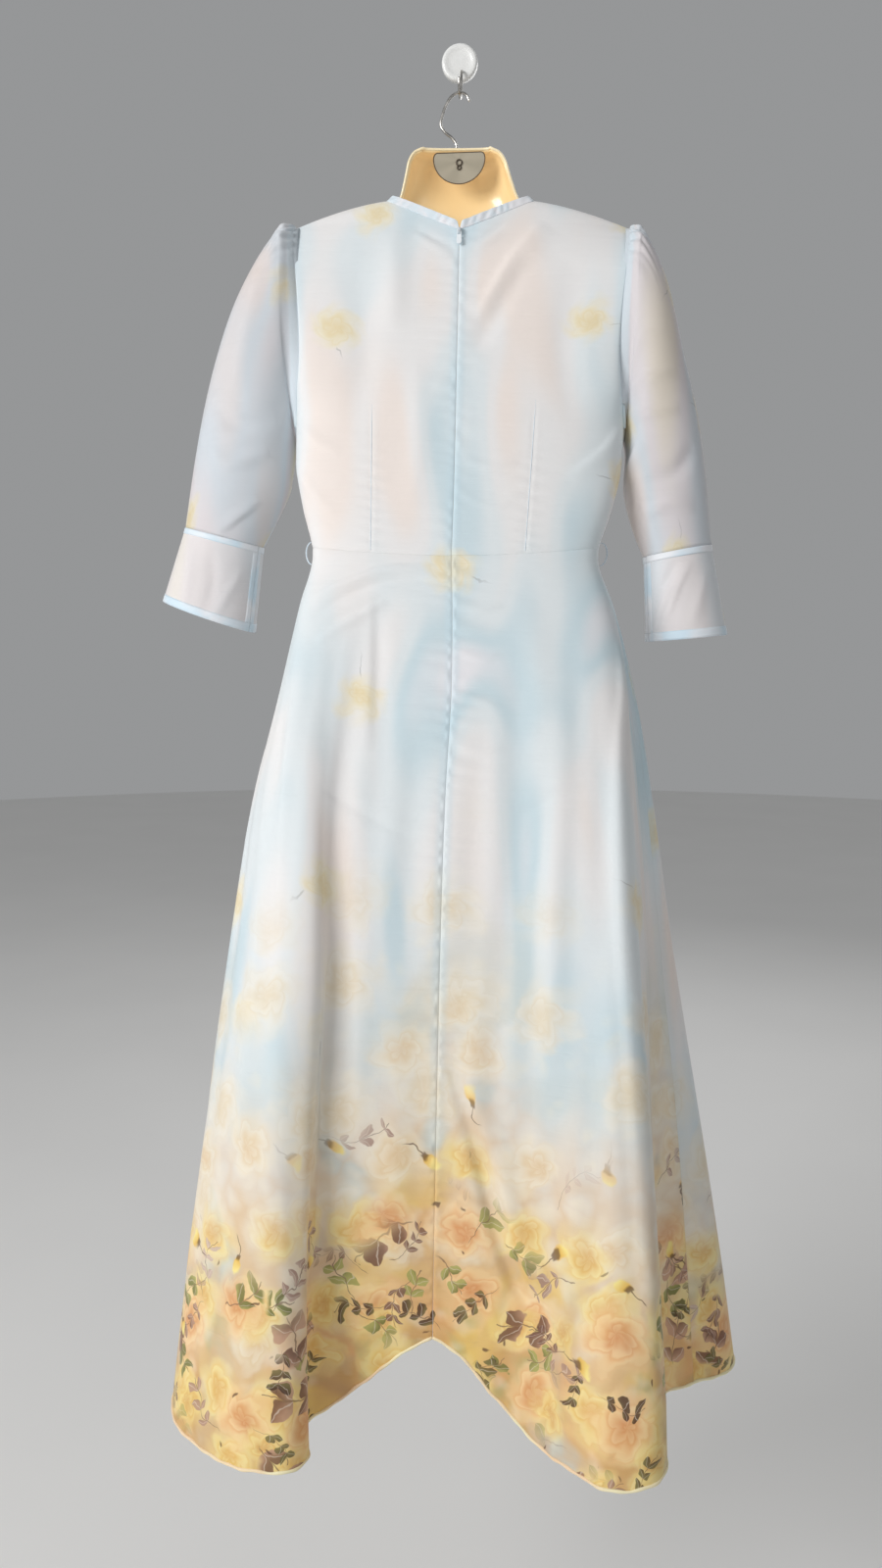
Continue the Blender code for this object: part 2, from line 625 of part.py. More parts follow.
def make_sleeves(cloth_finish):
    """Gathered at the head, narrowing to the cuff seam; the flared cuffs are slit on the body side."""
    round_angles = np.linspace(0, 2 * np.pi, SLEEVE_COLUMNS_ROUND, endpoint=False)
    first = CUFF_SLIT_ANGLE + CUFF_SLIT_GAP / 2
    last = CUFF_SLIT_ANGLE + 2 * np.pi - CUFF_SLIT_GAP / 2
    slit_angles = np.linspace(first, last, CUFF_COLUMNS_ROUND)
    for name, side in (("left", -1), ("right", 1)):
        sleeve = sleeve_points(name, side, round_angles, SLEEVE_DOWNS)
        sheet(f"sleeve_{name}", sleeve, CLOTH, cloth_finish, True)
        cuff = cuff_points(name, side, slit_angles, np.linspace(0, 1, CUFF_ROWS))
        sheet(f"cuff_{name}", cuff, CUFF_CLOTH, cloth_finish)


def make_belt_loops(finish):
    """A thread loop stands on each side seam, across the waist seam."""
    rise = LOOP_HEIGHT * LOOP_SHARE_ABOVE_WAIST / (SHOULDER_Z - WAIST_Z)
    fall = LOOP_HEIGHT * (1 - LOOP_SHARE_ABOVE_WAIST) / (WAIST_Z - HEM_FRONT[0][2])
    height = np.linspace(0, 1, 7)[:, None]
    bow = np.sqrt(np.clip(1 - (2 * height - 1) ** 2, 0, 1))
    for name, side, rows in (("left", -1, HEM_LEFT_BACK), ("right", 1, HEM_RIGHT_BACK)):
        upper = bodice_points(side, False, np.array([1.0]), np.array([rise]))[0]
        seam = skirt_back_points(side, rows, np.array([1.0]), SKIRT_FALLS[:2])
        lower = seam[0] + (seam[1] - seam[0]) * fall / SKIRT_FALLS[1]
        outward = np.array([side, 0.0, 0.0])
        stand = CLOTH / 2 + 2 * TOUCH + LOOP_WIRE / 2
        points = lower + (upper - lower) * height + outward * (stand + LOOP_OUT * bow)
        wire(f"belt_loop_{name}", points, LOOP_WIRE, finish, 2)


def make_form(finish):
    """The hollow half torso, open toward the viewer: C-shaped sections from its lower edge up over the
    shoulders, round the neck and in over its flat top."""
    low = np.linspace(FORM_BOTTOM_Z, FORM_ARMPIT_Z, FORM_LOW_ROWS)
    upper = table(FORM_COLUMNS, FORM_SHOULDER_ROWS)
    rim_out = np.concatenate([body("half_width", low) - FORM_INSET, upper["rim_out"]])
    rim_z = np.concatenate([low, upper["rim_z"]])
    rim_y = np.concatenate([body("back_y", low) + FORM_RIM_STEP, upper["rim_y"]])
    front_z = np.concatenate([low, upper["front_z"]])
    front_y = np.concatenate([body("front_y", low) - FORM_INSET, upper["front_y"]])
    fractions = np.linspace(-1, 1, FORM_COLUMNS_ACROSS)
    across, deep = quarter(np.abs(fractions), FORM_SQUARENESS)
    reach = 1 - deep
    out = rim_out[:, None] * across * np.sign(fractions)
    z = rim_z[:, None] + (front_z - rim_z)[:, None] * reach
    y = rim_y[:, None] + (front_y - rim_y)[:, None] * reach + bust(out, z) * reach
    neck_share = np.clip((z - SHOULDER_Z) / (upper["rim_z"][-1] - SHOULDER_Z), 0, 1)
    middle = body("middle_x", z) * (1 - neck_share)
    points = slanted(np.stack([middle + out, y, z], axis=-1))
    sheet("torso_form", points, FORM_WALL, finish, offset=1.0)


def make_hook_plate(finish):
    """The half-round plate inside the form's neck that the wire hook is set in."""
    angles = np.linspace(2 * np.pi, np.pi, PLATE_STEPS)
    drop = PLATE_DROP - PLATE_SHOULDER
    lower = [(PLATE_RADIUS * np.cos(a), drop * np.sin(a) - PLATE_SHOULDER) for a in angles]
    outline = [(PLATE_TOP_HALF, 0.0), *lower, (-PLATE_TOP_HALF, 0.0)]
    plate = flat_outline("hook_plate", [outline], PLATE_THICKNESS, finish)
    plate.location = (PLATE_X, PLATE_Y, PLATE_TOP_Z)
    plate.rotation_euler = (np.pi / 2, 0, 0)


def make_hooks(metal, white):
    """The form's wire hook, the wall disc with its rounded face, and the little arm under it."""
    wire("hanger_hook", [(x, HOOK_Y, z) for x, z in HOOK_LINE], HOOK_WIRE, metal)
    wire("wall_hook_arm", [(HOOK_X, y, z) for y, z in ARM_LINE], ARM_WIRE, metal, 2)
    bpy.ops.mesh.primitive_cylinder_add(
        vertices=48,
        radius=DISC_RADIUS,
        depth=DISC_DEPTH,
        location=(0, -DISC_DEPTH / 2, 0),
        rotation=(np.pi / 2, 0, 0),
    )
    disc = bpy.context.object
    disc.name = "wall_hook_disc"
    for collection in disc.users_collection:
        collection.objects.unlink(disc)
    bpy.data.collections[COLLECTION].objects.link(disc)
    disc.data.materials.append(white)
    work = bmesh.new()
    work.from_mesh(disc.data)
    face_edges = [e for e in work.edges if all(v.co.z > DISC_DEPTH / 2 - 1e-6 for v in e.verts)]
    bmesh.ops.bevel(work, geom=face_edges, offset=DISC_EDGE, segments=3, profile=0.5, affect="EDGES")
    work.to_mesh(disc.data)
    work.free()
    disc.data.shade_smooth()


def make_zip(slider_finish, tab_finish):
    """The slider at the top of the zip, and the pull tab whose eye goes through the slider's bridge."""
    seam = bodice_points(1, False, np.array([0.0]), np.linspace(0.8, 1, 41))[:, 0]
    heights = np.array([ZIP_Z + ZIP_SLOPE_ABOVE, ZIP_Z, ZIP_Z - ZIP_SLOPE_BELOW])
    above, at, below = smooth(heights, seam[:, 2], seam)
    tilt = np.arctan2(above[1] - below[1], above[2] - below[2])
    frame = bpy.data.objects.new("zip_frame", None)
    bpy.data.collections[COLLECTION].objects.link(frame)
    frame.location = (at[0], at[1] - (BINDING_CLOTH / 2 + 2 * TOUCH) / np.cos(tilt), ZIP_Z)
    frame.rotation_euler = (-tilt, 0, 0)
    slider = flat_outline("zip_slider", [SLIDER_SIDE_VIEW, SLIDER_HOLE], SLIDER_WIDTH, slider_finish)
    slider.parent = frame
    slider.rotation_euler = Matrix(((0, 0, -1), (-1, 0, 0), (0, 1, 0))).to_euler()
    # The tab's origin is its pivot, the middle of the bar that lies in the hole
    eye = [(side * TAB_EYE_HALF, -TAB_BAR) for side in (-1, 1)]
    eye += [(side * TAB_EYE_HALF, TAB_EYE_END) for side in (1, -1)]
    tip = -TAB_LENGTH + TAB_TIP
    edge = [(-TAB_WIDTH / 2, TAB_BAR), (TAB_WIDTH / 2, TAB_BAR), *TAB_SIDE]
    edge += [(TAB_TIP * np.sin(a), tip - TAB_TIP * np.cos(a)) for a in TAB_TIP_ANGLES]
    edge += [(-out, along) for out, along in reversed(TAB_SIDE)]
    tab = flat_outline("zip_pull_tab", [edge, eye], TAB_THICKNESS, tab_finish)
    tab.parent = frame
    tab.location = (0, -PIVOT_STAND, 0)
    tab.rotation_euler = (np.pi / 2, 0, 0)


def main():
    """Clears the scene and makes every piece."""
    for old in list(bpy.data.objects):
        bpy.data.objects.remove(old)
    bpy.context.scene.collection.children.link(bpy.data.collections.new(COLLECTION))
    cloth = material("printed_cloth", (0.80, 0.87, 0.90), 0.70)
    sheer = material("sheer_cloth", (0.80, 0.87, 0.90), 0.70, alpha=0.8)
    binding = material("neck_cloth", (0.82, 0.88, 0.92), 0.65)
    thread = material("thread", (0.80, 0.86, 0.90), 0.75)
    plastic = material("cream_plastic", (0.82, 0.72, 0.48), 0.22)
    plate = material("grey_plate", (0.52, 0.49, 0.44), 0.35, 0.6)
    metal = material("hook_metal", (0.75, 0.74, 0.72), 0.22, 1.0)
    white = material("white_plastic", (0.88, 0.88, 0.87), 0.35)
    slider = material("slider_metal", (0.45, 0.50, 0.55), 0.35, 0.8)
    tab = material("tab_paint", (0.86, 0.91, 0.95), 0.30)
    edges = make_bodice(cloth)
    make_neck_binding(edges, binding)
    make_skirt(cloth)
    make_sleeves(sheer)
    make_belt_loops(thread)
    make_form(plastic)
    make_hook_plate(plate)
    make_hooks(metal, white)
    make_zip(slider, tab)


main()
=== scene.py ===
"""The looks of a long printed dress, zipped up the back, on a hollow half-torso form.

Metres, +Z up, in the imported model's own frame: the wall is the plane y = 0, and the dress's back faces -Y.
"""

import logging
from dataclasses import dataclass
from enum import Enum

import bmesh
import bpy
import numpy as np
from mathutils import Matrix


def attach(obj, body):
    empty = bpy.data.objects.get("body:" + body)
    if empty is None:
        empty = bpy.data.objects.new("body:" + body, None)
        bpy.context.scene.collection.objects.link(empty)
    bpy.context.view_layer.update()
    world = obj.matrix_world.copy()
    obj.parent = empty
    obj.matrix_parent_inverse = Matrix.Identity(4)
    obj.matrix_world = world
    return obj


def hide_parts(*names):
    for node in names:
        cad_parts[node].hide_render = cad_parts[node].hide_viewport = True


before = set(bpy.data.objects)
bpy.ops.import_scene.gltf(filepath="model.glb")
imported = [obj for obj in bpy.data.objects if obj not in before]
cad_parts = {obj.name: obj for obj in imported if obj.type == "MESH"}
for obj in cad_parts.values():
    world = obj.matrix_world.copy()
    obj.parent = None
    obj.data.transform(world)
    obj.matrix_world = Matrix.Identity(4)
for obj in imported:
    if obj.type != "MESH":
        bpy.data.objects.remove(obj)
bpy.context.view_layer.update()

Array = np.ndarray
Socket = bpy.types.NodeSocket
Tone = tuple[int, int, int]
log = logging.getLogger("dress")

# ---- The garment's sizes: the same tables as the solids'

BODY_COLUMNS = ("z", "middle_x", "half_width", "back_y", "side_y", "front_y")
BODY_ROWS = (
    (-0.165, 0.0040, 0.1945, -0.0640, -0.0500, -0.0380),
    (-0.205, 0.0050, 0.1930, -0.0725, -0.0510, -0.0320),
    (-0.235, 0.0050, 0.1870, -0.0800, -0.0530, -0.0240),
    (-0.280, 0.0050, 0.1825, -0.0910, -0.0560, -0.0180),
    (-0.350, 0.0050, 0.1820, -0.1095, -0.0640, -0.0180),
    (-0.400, 0.0050, 0.1870, -0.1225, -0.0700, -0.0190),
    (-0.445, 0.0050, 0.1905, -0.1340, -0.0760, -0.0240),
    (-0.490, 0.0048, 0.1875, -0.1455, -0.0890, -0.0400),
    (-0.530, 0.0045, 0.1782, -0.1560, -0.1040, -0.0580),
    (-0.586, 0.0040, 0.1630, -0.1710, -0.1240, -0.0750),
    (-0.640, 0.0062, 0.1745, -0.1850, -0.1330, -0.0850),
    (-0.740, 0.0090, 0.1890, -0.2120, -0.1500, -0.1020),
    (-0.840, 0.0066, 0.1992, -0.2400, -0.1640, -0.1120),
    (-1.030, 0.0045, 0.2085, -0.2620, -0.1760, -0.1080),
    (-1.230, 0.0038, 0.2215, -0.2790, -0.1840, -0.1000),
    (-1.520, 0.0020, 0.2370, -0.2950, -0.1900, -0.0900),
)
BACK_SQUARENESS = 3.6
FRONT_SQUARENESS = 2.5
RING_DEPTH_SHARE = 0.28
BUST_OUT = 0.078
BUST_Z = -0.420
BUST_SPREAD = 0.055
BUST_HEIGHT = 0.011
WAIST_Z = -0.5860
WAIST_SIDE_RISE = 0.0100
WAIST_HALF = 0.163
UNDERARM_Z = -0.445
SHOULDER_Z = -0.2023
NECK_SHOULDER_Z = -0.1710
NECK_SHOULDER_OUT = 0.0755
SHOULDER_OUT = 0.1945
SHOULDER_SEAM_Y = -0.0510
SHOULDER_ROLL = 0.060
SLANT_COLUMNS = ("z", "slant")
SLANT_ROWS = ((-0.10, 0.030), (-0.22, 0.028), (-0.45, 0.016), (-0.60, 0.008), (-0.84, 0.0), (-1.60, 0.0))
NECK_EDGE_OUT = 0.0865
BACK_NECK_Z = -0.2095
BACK_NECK_POWER = 1.1
FRONT_NECK_Z = -0.2620
ARMHOLE_HALF_DEPTH = 0.036
SLEEVE_COLUMNS = ("down", "outer", "outer_z", "inner", "inner_z", "mid_y", "half_depth")
SLEEVE_ROWS = {
    "left": (
        (0.00, 0.1990, -0.1970, 0.1921, -0.4450, -0.0620, 0.0365),
        (0.09, 0.2130, -0.2015, 0.1965, -0.4560, -0.0620, 0.0440),
        (0.20, 0.2355, -0.2310, 0.1985, -0.4680, -0.0630, 0.0480),
        (0.36, 0.2630, -0.2790, 0.2010, -0.4830, -0.0650, 0.0500),
        (0.56, 0.2900, -0.3530, 0.2045, -0.5050, -0.0680, 0.0480),
        (0.78, 0.3115, -0.4400, 0.2180, -0.5350, -0.0710, 0.0440),
        (1.00, 0.3300, -0.5455, 0.2366, -0.5697, -0.0740, 0.0390),
    ),
    "right": (
        (0.00, 0.2000, -0.2100, 0.1921, -0.4470, -0.0620, 0.0365),
        (0.09, 0.2105, -0.2145, 0.1955, -0.4580, -0.0620, 0.0440),
        (0.20, 0.2270, -0.2400, 0.1965, -0.4720, -0.0630, 0.0480),
        (0.36, 0.2440, -0.2860, 0.1950, -0.4900, -0.0650, 0.0500),
        (0.56, 0.2620, -0.3600, 0.1955, -0.5120, -0.0680, 0.0480),
        (0.78, 0.2830, -0.4500, 0.2045, -0.5480, -0.0710, 0.0440),
        (1.00, 0.2970, -0.5700, 0.2190, -0.5839, -0.0740, 0.0390),
    ),
}
CUFF_COLUMNS = ("outer", "outer_z", "inner", "inner_z", "mid_y", "half_depth")
CUFF_ROWS = {
    "left": (0.3590, -0.6330, 0.2485, -0.6716, -0.0770, 0.0470),
    "right": (0.3175, -0.6741, 0.2235, -0.6823, -0.0770, 0.0470),
}
HEM_RIGHT_BACK = (
    (-0.003, -0.335, -1.417),
    (0.028, -0.343, -1.431),
    (0.060, -0.352, -1.464),
    (0.106, -0.374, -1.500),
    (0.145, -0.413, -1.503),
    (0.190, -0.437, -1.503),
    (0.226, -0.427, -1.499),
    (0.239, -0.404, -1.498),
    (0.232, -0.368, -1.498),
    (0.224, -0.332, -1.499),
    (0.236, -0.296, -1.500),
    (0.282, -0.264, -1.500),
)
HEM_LEFT_BACK = (
    (-0.003, -0.335, -1.417),
    (-0.034, -0.340, -1.432),
    (-0.066, -0.344, -1.457),
    (-0.104, -0.350, -1.486),
    (-0.133, -0.358, -1.503),
    (-0.133, -0.384, -1.505),
    (-0.122, -0.409, -1.506),
    (-0.140, -0.433, -1.506),
    (-0.182, -0.432, -1.508),
    (-0.238, -0.400, -1.512),
    (-0.283, -0.355, -1.508),
    (-0.291, -0.312, -1.507),
    (-0.284, -0.262, -1.503),
)
HEM_FRONT = (
    (0.282, -0.264, -1.500),
    (0.318, -0.244, -1.500),
    (0.334, -0.212, -1.501),
    (0.316, -0.168, -1.498),
    (0.262, -0.124, -1.490),
    (0.205, -0.078, -1.480),
    (0.150, -0.040, -1.472),
    (0.100, -0.062, -1.466),
    (0.052, -0.092, -1.462),
    (0.004, -0.060, -1.460),
    (-0.044, -0.032, -1.462),
    (-0.096, -0.060, -1.466),
    (-0.146, -0.094, -1.472),
    (-0.196, -0.074, -1.480),
    (-0.244, -0.070, -1.490),
    (-0.282, -0.112, -1.498),
    (-0.297, -0.172, -1.502),
    (-0.284, -0.262, -1.503),
)
FOLD_GROWTH = 1.3
SIDE_FLARE = 1.8


class Side(Enum):
    """The two sides of the dress as seen from behind."""

    LEFT = "left"
    RIGHT = "right"

    @property
    def sign(self) -> int:
        """-1 for the left and 1 for the right."""
        return -1 if self is Side.LEFT else 1

    @property
    def hem(self) -> tuple[tuple[float, float, float], ...]:
        """The plan of the back panel's hem on this side."""
        return HEM_LEFT_BACK if self is Side.LEFT else HEM_RIGHT_BACK


# ---- Curves and surfaces, as arrays


def table(columns: tuple[str, ...], rows: tuple) -> dict[str, Array]:
    """A dictionary of arrays, one for each named column."""
    return dict(zip(columns, np.array(rows, float).T))


def smooth(at: Array, places: Array, values: Array) -> Array:
    """A curve of cubic pieces through (places, values), each slope the mean of those on its two sides.

    Args:
        at: where to read the curve.
        places: the rising places of its points.
        values: a number or a vector for each place.

    Returns:
        The values at the given places.
    """
    steps = np.diff(places)
    slopes = np.diff(values, axis=0) / (steps if values.ndim == 1 else steps.reshape(-1, *[1] * (values.ndim - 1)))
    tangents = np.concatenate([slopes[:1], (slopes[1:] + slopes[:-1]) / 2, slopes[-1:]])
    at = np.clip(at, places[0], places[-1])
    piece = np.clip(np.searchsorted(places, at, side="right") - 1, 0, len(steps) - 1)
    step = steps[piece]
    t = (at - places[piece]) / step
    if values.ndim > 1:
        extra = [1] * (values.ndim - 1)
        t, step = t.reshape(*t.shape, *extra), step.reshape(*step.shape, *extra)
    return (
        (1 + 2 * t) * (1 - t) ** 2 * values[piece]
        + t**2 * (3 - 2 * t) * values[piece + 1]
        + t * (1 - t) ** 2 * step * tangents[piece]
        - t**2 * (1 - t) * step * tangents[piece + 1]
    )


BODY = table(BODY_COLUMNS, BODY_ROWS[::-1])
SLANT = table(SLANT_COLUMNS, SLANT_ROWS[::-1])


def body(name: str, z: Array | float) -> Array:
    """One measure of the body ring at a height."""
    return smooth(np.asarray(z, float), BODY["z"], BODY[name])


def quarter(fraction: Array, squareness: float) -> tuple[Array, Array]:
    """A quarter of a rounded oblong, sin and cos of an angle raised to 2 / squareness, by length run.

    Args:
        fraction: share of the way from the middle of its long side (0) to its end (1).
        squareness: 2 for an ellipse, more for squarer corners.

    Returns:
        How far across and how far back, each from 0 to 1.
    """
    angle = np.linspace(0, np.pi / 2, 600)
    across = np.sin(angle) ** (2 / squareness)
    deep = 1 - np.cos(angle) ** (2 / squareness)
    run = np.concatenate([[0], np.cumsum(np.hypot(np.diff(across), RING_DEPTH_SHARE * np.diff(deep)))])
    place = np.asarray(fraction) * run[-1]
    return np.interp(place, run, across), np.interp(place, run, deep)


def shoulder_line(out: Array) -> Array:
    """Height of the shoulder seam at a distance out from the middle."""
    along = np.clip((out - NECK_SHOULDER_OUT) / (SHOULDER_OUT - NECK_SHOULDER_OUT), 0, None)
    return NECK_SHOULDER_Z + (SHOULDER_Z - NECK_SHOULDER_Z) * along**1.5


def top_edge(out: Array, is_front: bool) -> Array:
    """Height of a bodice panel's top edge: the neckline, then the shoulder seam."""
    share = np.clip(out / NECK_EDGE_OUT, 0, 1)
    corner = shoulder_line(np.array(NECK_EDGE_OUT))
    if is_front:
        neck = corner - (corner - FRONT_NECK_Z) * np.sqrt(1 - share**2)
    else:
        neck = BACK_NECK_Z + (corner - BACK_NECK_Z) * share**BACK_NECK_POWER
    return np.where(out < NECK_EDGE_OUT, neck, shoulder_line(out))


def waist_line(out: Array) -> Array:
    """Height of the waist seam, which rises a little to the sides."""
    return WAIST_Z + WAIST_SIDE_RISE * (out / WAIST_HALF) ** 2


def bust(out: Array, z: Array) -> Array:
    """How far the front rounds out toward the wall: a bell round each side's middle."""
    fall = ((np.abs(out) - BUST_OUT) ** 2 + (z - BUST_Z) ** 2) / BUST_SPREAD**2
    return BUST_HEIGHT * np.exp(-fall)


def slanted(points: Array) -> Array:
    """The points with each height lowered by its distance across, as the right shoulder hangs lower."""
    across = points[..., 0] - body("middle_x", points[..., 2])
    lower = across * smooth(points[..., 2], SLANT["z"], SLANT["slant"])
    return points - lower[..., None] * np.array([0, 0, 1.0])


def armhole_share(z: Array) -> Array:
    """How far up the armhole a height is, from 0 at the underarm to 1 at the shoulder."""
    return np.clip((z - UNDERARM_Z) / (SHOULDER_Z - UNDERARM_Z), 0, 1)


def hem_points(rows: tuple, fractions: Array) -> Array:
    """Points of the hem's plan, spaced by the length run along it."""
    hem = np.array(rows)
    run = run_of(hem)
    return smooth(np.asarray(fractions) * run[-1], run, hem)


def run_of(points: Array, axis: int = 0) -> Array:
    """Length run along lines of points, from 0 at their start."""
    steps = np.linalg.norm(np.diff(points, axis=axis), axis=-1)
    start = np.zeros_like(np.take(steps, [0], axis=axis))
    return np.concatenate([start, np.cumsum(steps, axis=axis)], axis=axis)


def normals_of(points: Array, inside: Array, closed: bool = False) -> Array:
    """Unit normals of a grid of points, by the cross product of its two directions.

    Args:
        points: the grid (rows, columns, 3).
        inside: a point on the hollow side for each row (rows, 1, 3).
        closed: whether the columns run all round.

    Returns:
        Normals that point away from the inside.
    """
    if closed:
        across = np.roll(points, -1, axis=1) - np.roll(points, 1, axis=1)
    else:
        across = np.gradient(points, axis=1)
    made = np.cross(across, np.gradient(points, axis=0))
    made = made / np.maximum(np.linalg.norm(made, axis=-1, keepdims=True), 1e-12)
    return made * np.sign(np.sum(made * (points - inside)))


def unrolled(points: Array) -> Array:
    """The panel laid flat: each strip between two lines is unrolled beside the last, keeping its lengths.

    Args:
        points: the panel's grid (rows, columns, 3).

    Returns:
        Flat places in metres (rows, columns, 2), the first line down the Y axis from the origin.
    """

    def third(a: Array, b: Array, from_a: float, from_b: float) -> Array:
        """The corner at given distances from a and b, on the right going from a to b."""
        span = np.linalg.norm(b - a)
        along = (from_a**2 - from_b**2 + span**2) / (2 * span)
        ahead = (b - a) / span
        return a + ahead * along + np.array([-ahead[1], ahead[0]]) * np.sqrt(max(from_a**2 - along**2, 0.0))

    def gap(a: Array, b: Array) -> float:
        """The distance between two points."""
        return float(np.linalg.norm(a - b))

    top, low = points[0], points[-1]
    tops, lows = [np.zeros(2)], [np.array([0.0, -gap(top[0], low[0])])]
    for k in range(points.shape[1] - 1):
        tops.append(third(tops[-1], lows[-1], gap(top[k + 1], top[k]), gap(top[k + 1], low[k])))
        lows.append(third(tops[-1], lows[-1], gap(low[k + 1], top[k + 1]), gap(low[k + 1], low[k])))
    run = run_of(points, axis=0)
    share = (run / run[-1:])[..., None]
    return np.array(tops) + (np.array(lows) - np.array(tops)) * share


def turned_in(grid: Array, normals: Array, depth: float) -> Array:
    """A grid with a line past its top and side edges, turned in against the normals, and one just inside each.

    Args:
        grid: the panel's grid (rows, columns, parts).
        normals: its normals; zeros leave the edge's own values.
        depth: how far the edges go in.

    Returns:
        The larger grid.
    """
    near = 0.15
    second = grid[:1] + near * (grid[1:2] - grid[:1])
    grid = np.concatenate([grid[:1] - depth * normals[:1], grid[:1], second, grid[1:]])
    normals = np.concatenate([normals[:1], normals[:1], normals])
    first = grid[:, :1] + near * (grid[:, 1:2] - grid[:, :1])
    last = grid[:, -1:] + near * (grid[:, -2:-1] - grid[:, -1:])
    start = [grid[:, :1] - depth * normals[:, :1], grid[:, :1], first, grid[:, 1:-1]]
    return np.concatenate([*start, last, grid[:, -1:], grid[:, -1:] - depth * normals[:, -1:]], axis=1)


def soft_step(value: Array, low: float, high: float) -> Array:
    """0 below low, 1 above high and a smooth S between them; falling where low is the larger."""
    t = np.clip((value - low) / (high - low), 0, 1)
    return t * t * (3 - 2 * t)


@dataclass(frozen=True)
class Crease:
    """A soft fold laid into a panel.

    Attributes:
        line: places (share across the panel, height) that it runs through.
        depth: how far it stands out, or in where negative, in metres.
        width: distance to either side over which it fades.
        lean: from -1 to 1, how much steeper it is on one side than on the other.
    """

    line: tuple[tuple[float, float], ...]
    depth: float
    width: float
    lean: float = 0.0

    def lift(self, points: Array, shares: Array, normals: Array) -> Array:
        """Depth times a bell of the distance from the line, fading toward the line's two ends.

        Args:
            points: the panel's grid (rows, columns, 3).
            shares: each column's share across the panel.
            normals: the grid's normals.

        Returns:
            How far each point moves along its normal.
        """
        path = self._path(points, shares)
        ends, starts = path[1:], path[:-1]
        low, high = path.min(axis=0) - 3 * self.width, path.max(axis=0) + 3 * self.width
        near = np.all((points > low) & (points < high), axis=-1)
        chosen = points[near]
        along = ends - starts
        place = np.einsum("nsk,sk->ns", chosen[:, None] - starts, along) / np.sum(along**2, axis=1)
        place = np.clip(place, 0, 1)
        away = chosen[:, None] - (starts + place[..., None] * along)
        distance = np.linalg.norm(away, axis=-1)
        nearest = np.argmin(distance, axis=1)
        pick = np.arange(len(nearest))
        side = np.einsum("nk,nk->n", away[pick, nearest], np.cross(normals[near], along[nearest]))
        width = self.width * (1 + self.lean * np.tanh(side / (0.3 * self.width * np.linalg.norm(along[0]))))
        share = (nearest + place[pick, nearest]) / len(starts)
        taper = np.sin(np.pi * np.clip(share, 0, 1)) ** 0.7
        made = np.zeros(points.shape[:2])
        made[near] = self.depth * taper * np.exp(-((distance[pick, nearest] / width) ** 2))
        return made

    def _path(self, points: Array, shares: Array) -> Array:
        """The line's points in space, read off the panel's own grid."""
        column = np.interp([p[0] for p in self.line], shares, np.arange(len(shares)))
        left = np.clip(column.astype(int), 0, len(shares) - 2)
        mix = (column - left)[:, None, None]
        lines = points[:, left].transpose(1, 0, 2) * (1 - mix) + points[:, left + 1].transpose(1, 0, 2) * mix
        order = 1 if lines[0, -1, 2] > lines[0, 0, 2] else -1
        found = [
            [np.interp(height, line[::order, 2], line[::order, axis]) for axis in range(3)]
            for line, (_, height) in zip(lines, self.line)
        ]
        found = np.array(found)
        run = run_of(found)
        return smooth(np.linspace(0, run[-1], 22), run, found)


def creased(points: Array, shares: Array, normals: Array, creases: tuple[Crease, ...]) -> Array:
    """The sum of every crease's lift over a panel."""
    return sum((crease.lift(points, shares, normals) for crease in creases), np.zeros(points.shape[:2]))


# ---- Meshes


def add_mesh(name: str, points: Array, faces: Array | list, finish: "Finish") -> bpy.types.Object:
    """A new object from points and faces, shaded smooth and dressed."""
    mesh = bpy.data.meshes.new(name)
    corners = faces if isinstance(faces, list) else faces.tolist()
    mesh.from_pydata(points.reshape(-1, 3).tolist(), [], corners)
    mesh.shade_smooth()
    mesh.materials.append(finish.material())
    made = bpy.data.objects.new(name, mesh)
    bpy.context.scene.collection.objects.link(made)
    return made


def grid_faces(rows: int, columns: int, closed: bool = False, turned: bool = False) -> Array:
    """Four-sided faces of a grid, joined round where closed, wound the other way where turned."""
    index = np.arange(rows * columns).reshape(rows, columns)
    if closed:
        index = np.concatenate([index, index[:, :1]], axis=1)
    faces = np.stack([index[:-1, :-1], index[:-1, 1:], index[1:, 1:], index[1:, :-1]], axis=-1).reshape(-1, 4)
    return faces[:, ::-1] if turned else faces


def add_uv(made: bpy.types.Object, flat: Array) -> None:
    """A UV map in metres of cloth, one pair for each point of the mesh."""
    layer = made.data.uv_layers.new(name="cloth")
    corners = np.zeros(len(made.data.loops), int)
    made.data.loops.foreach_get("vertex_index", corners)
    layer.data.foreach_set("uv", flat.reshape(-1, 2)[corners].ravel())


def add_value(made: bpy.types.Object, name: str, values: Array) -> None:
    """A number kept at each point of the mesh, which a finish can read."""
    layer = made.data.attributes.new(name, "FLOAT", "POINT")
    layer.data.foreach_set("value", values.astype(np.float32).ravel())


def add_wall(made: bpy.types.Object, thickness: float, offset: float = 0.0) -> None:
    """A Solidify wall on an open surface."""
    wall = made.modifiers.new("wall", "SOLIDIFY")
    wall.thickness = thickness
    wall.offset = offset
    wall.use_rim = True


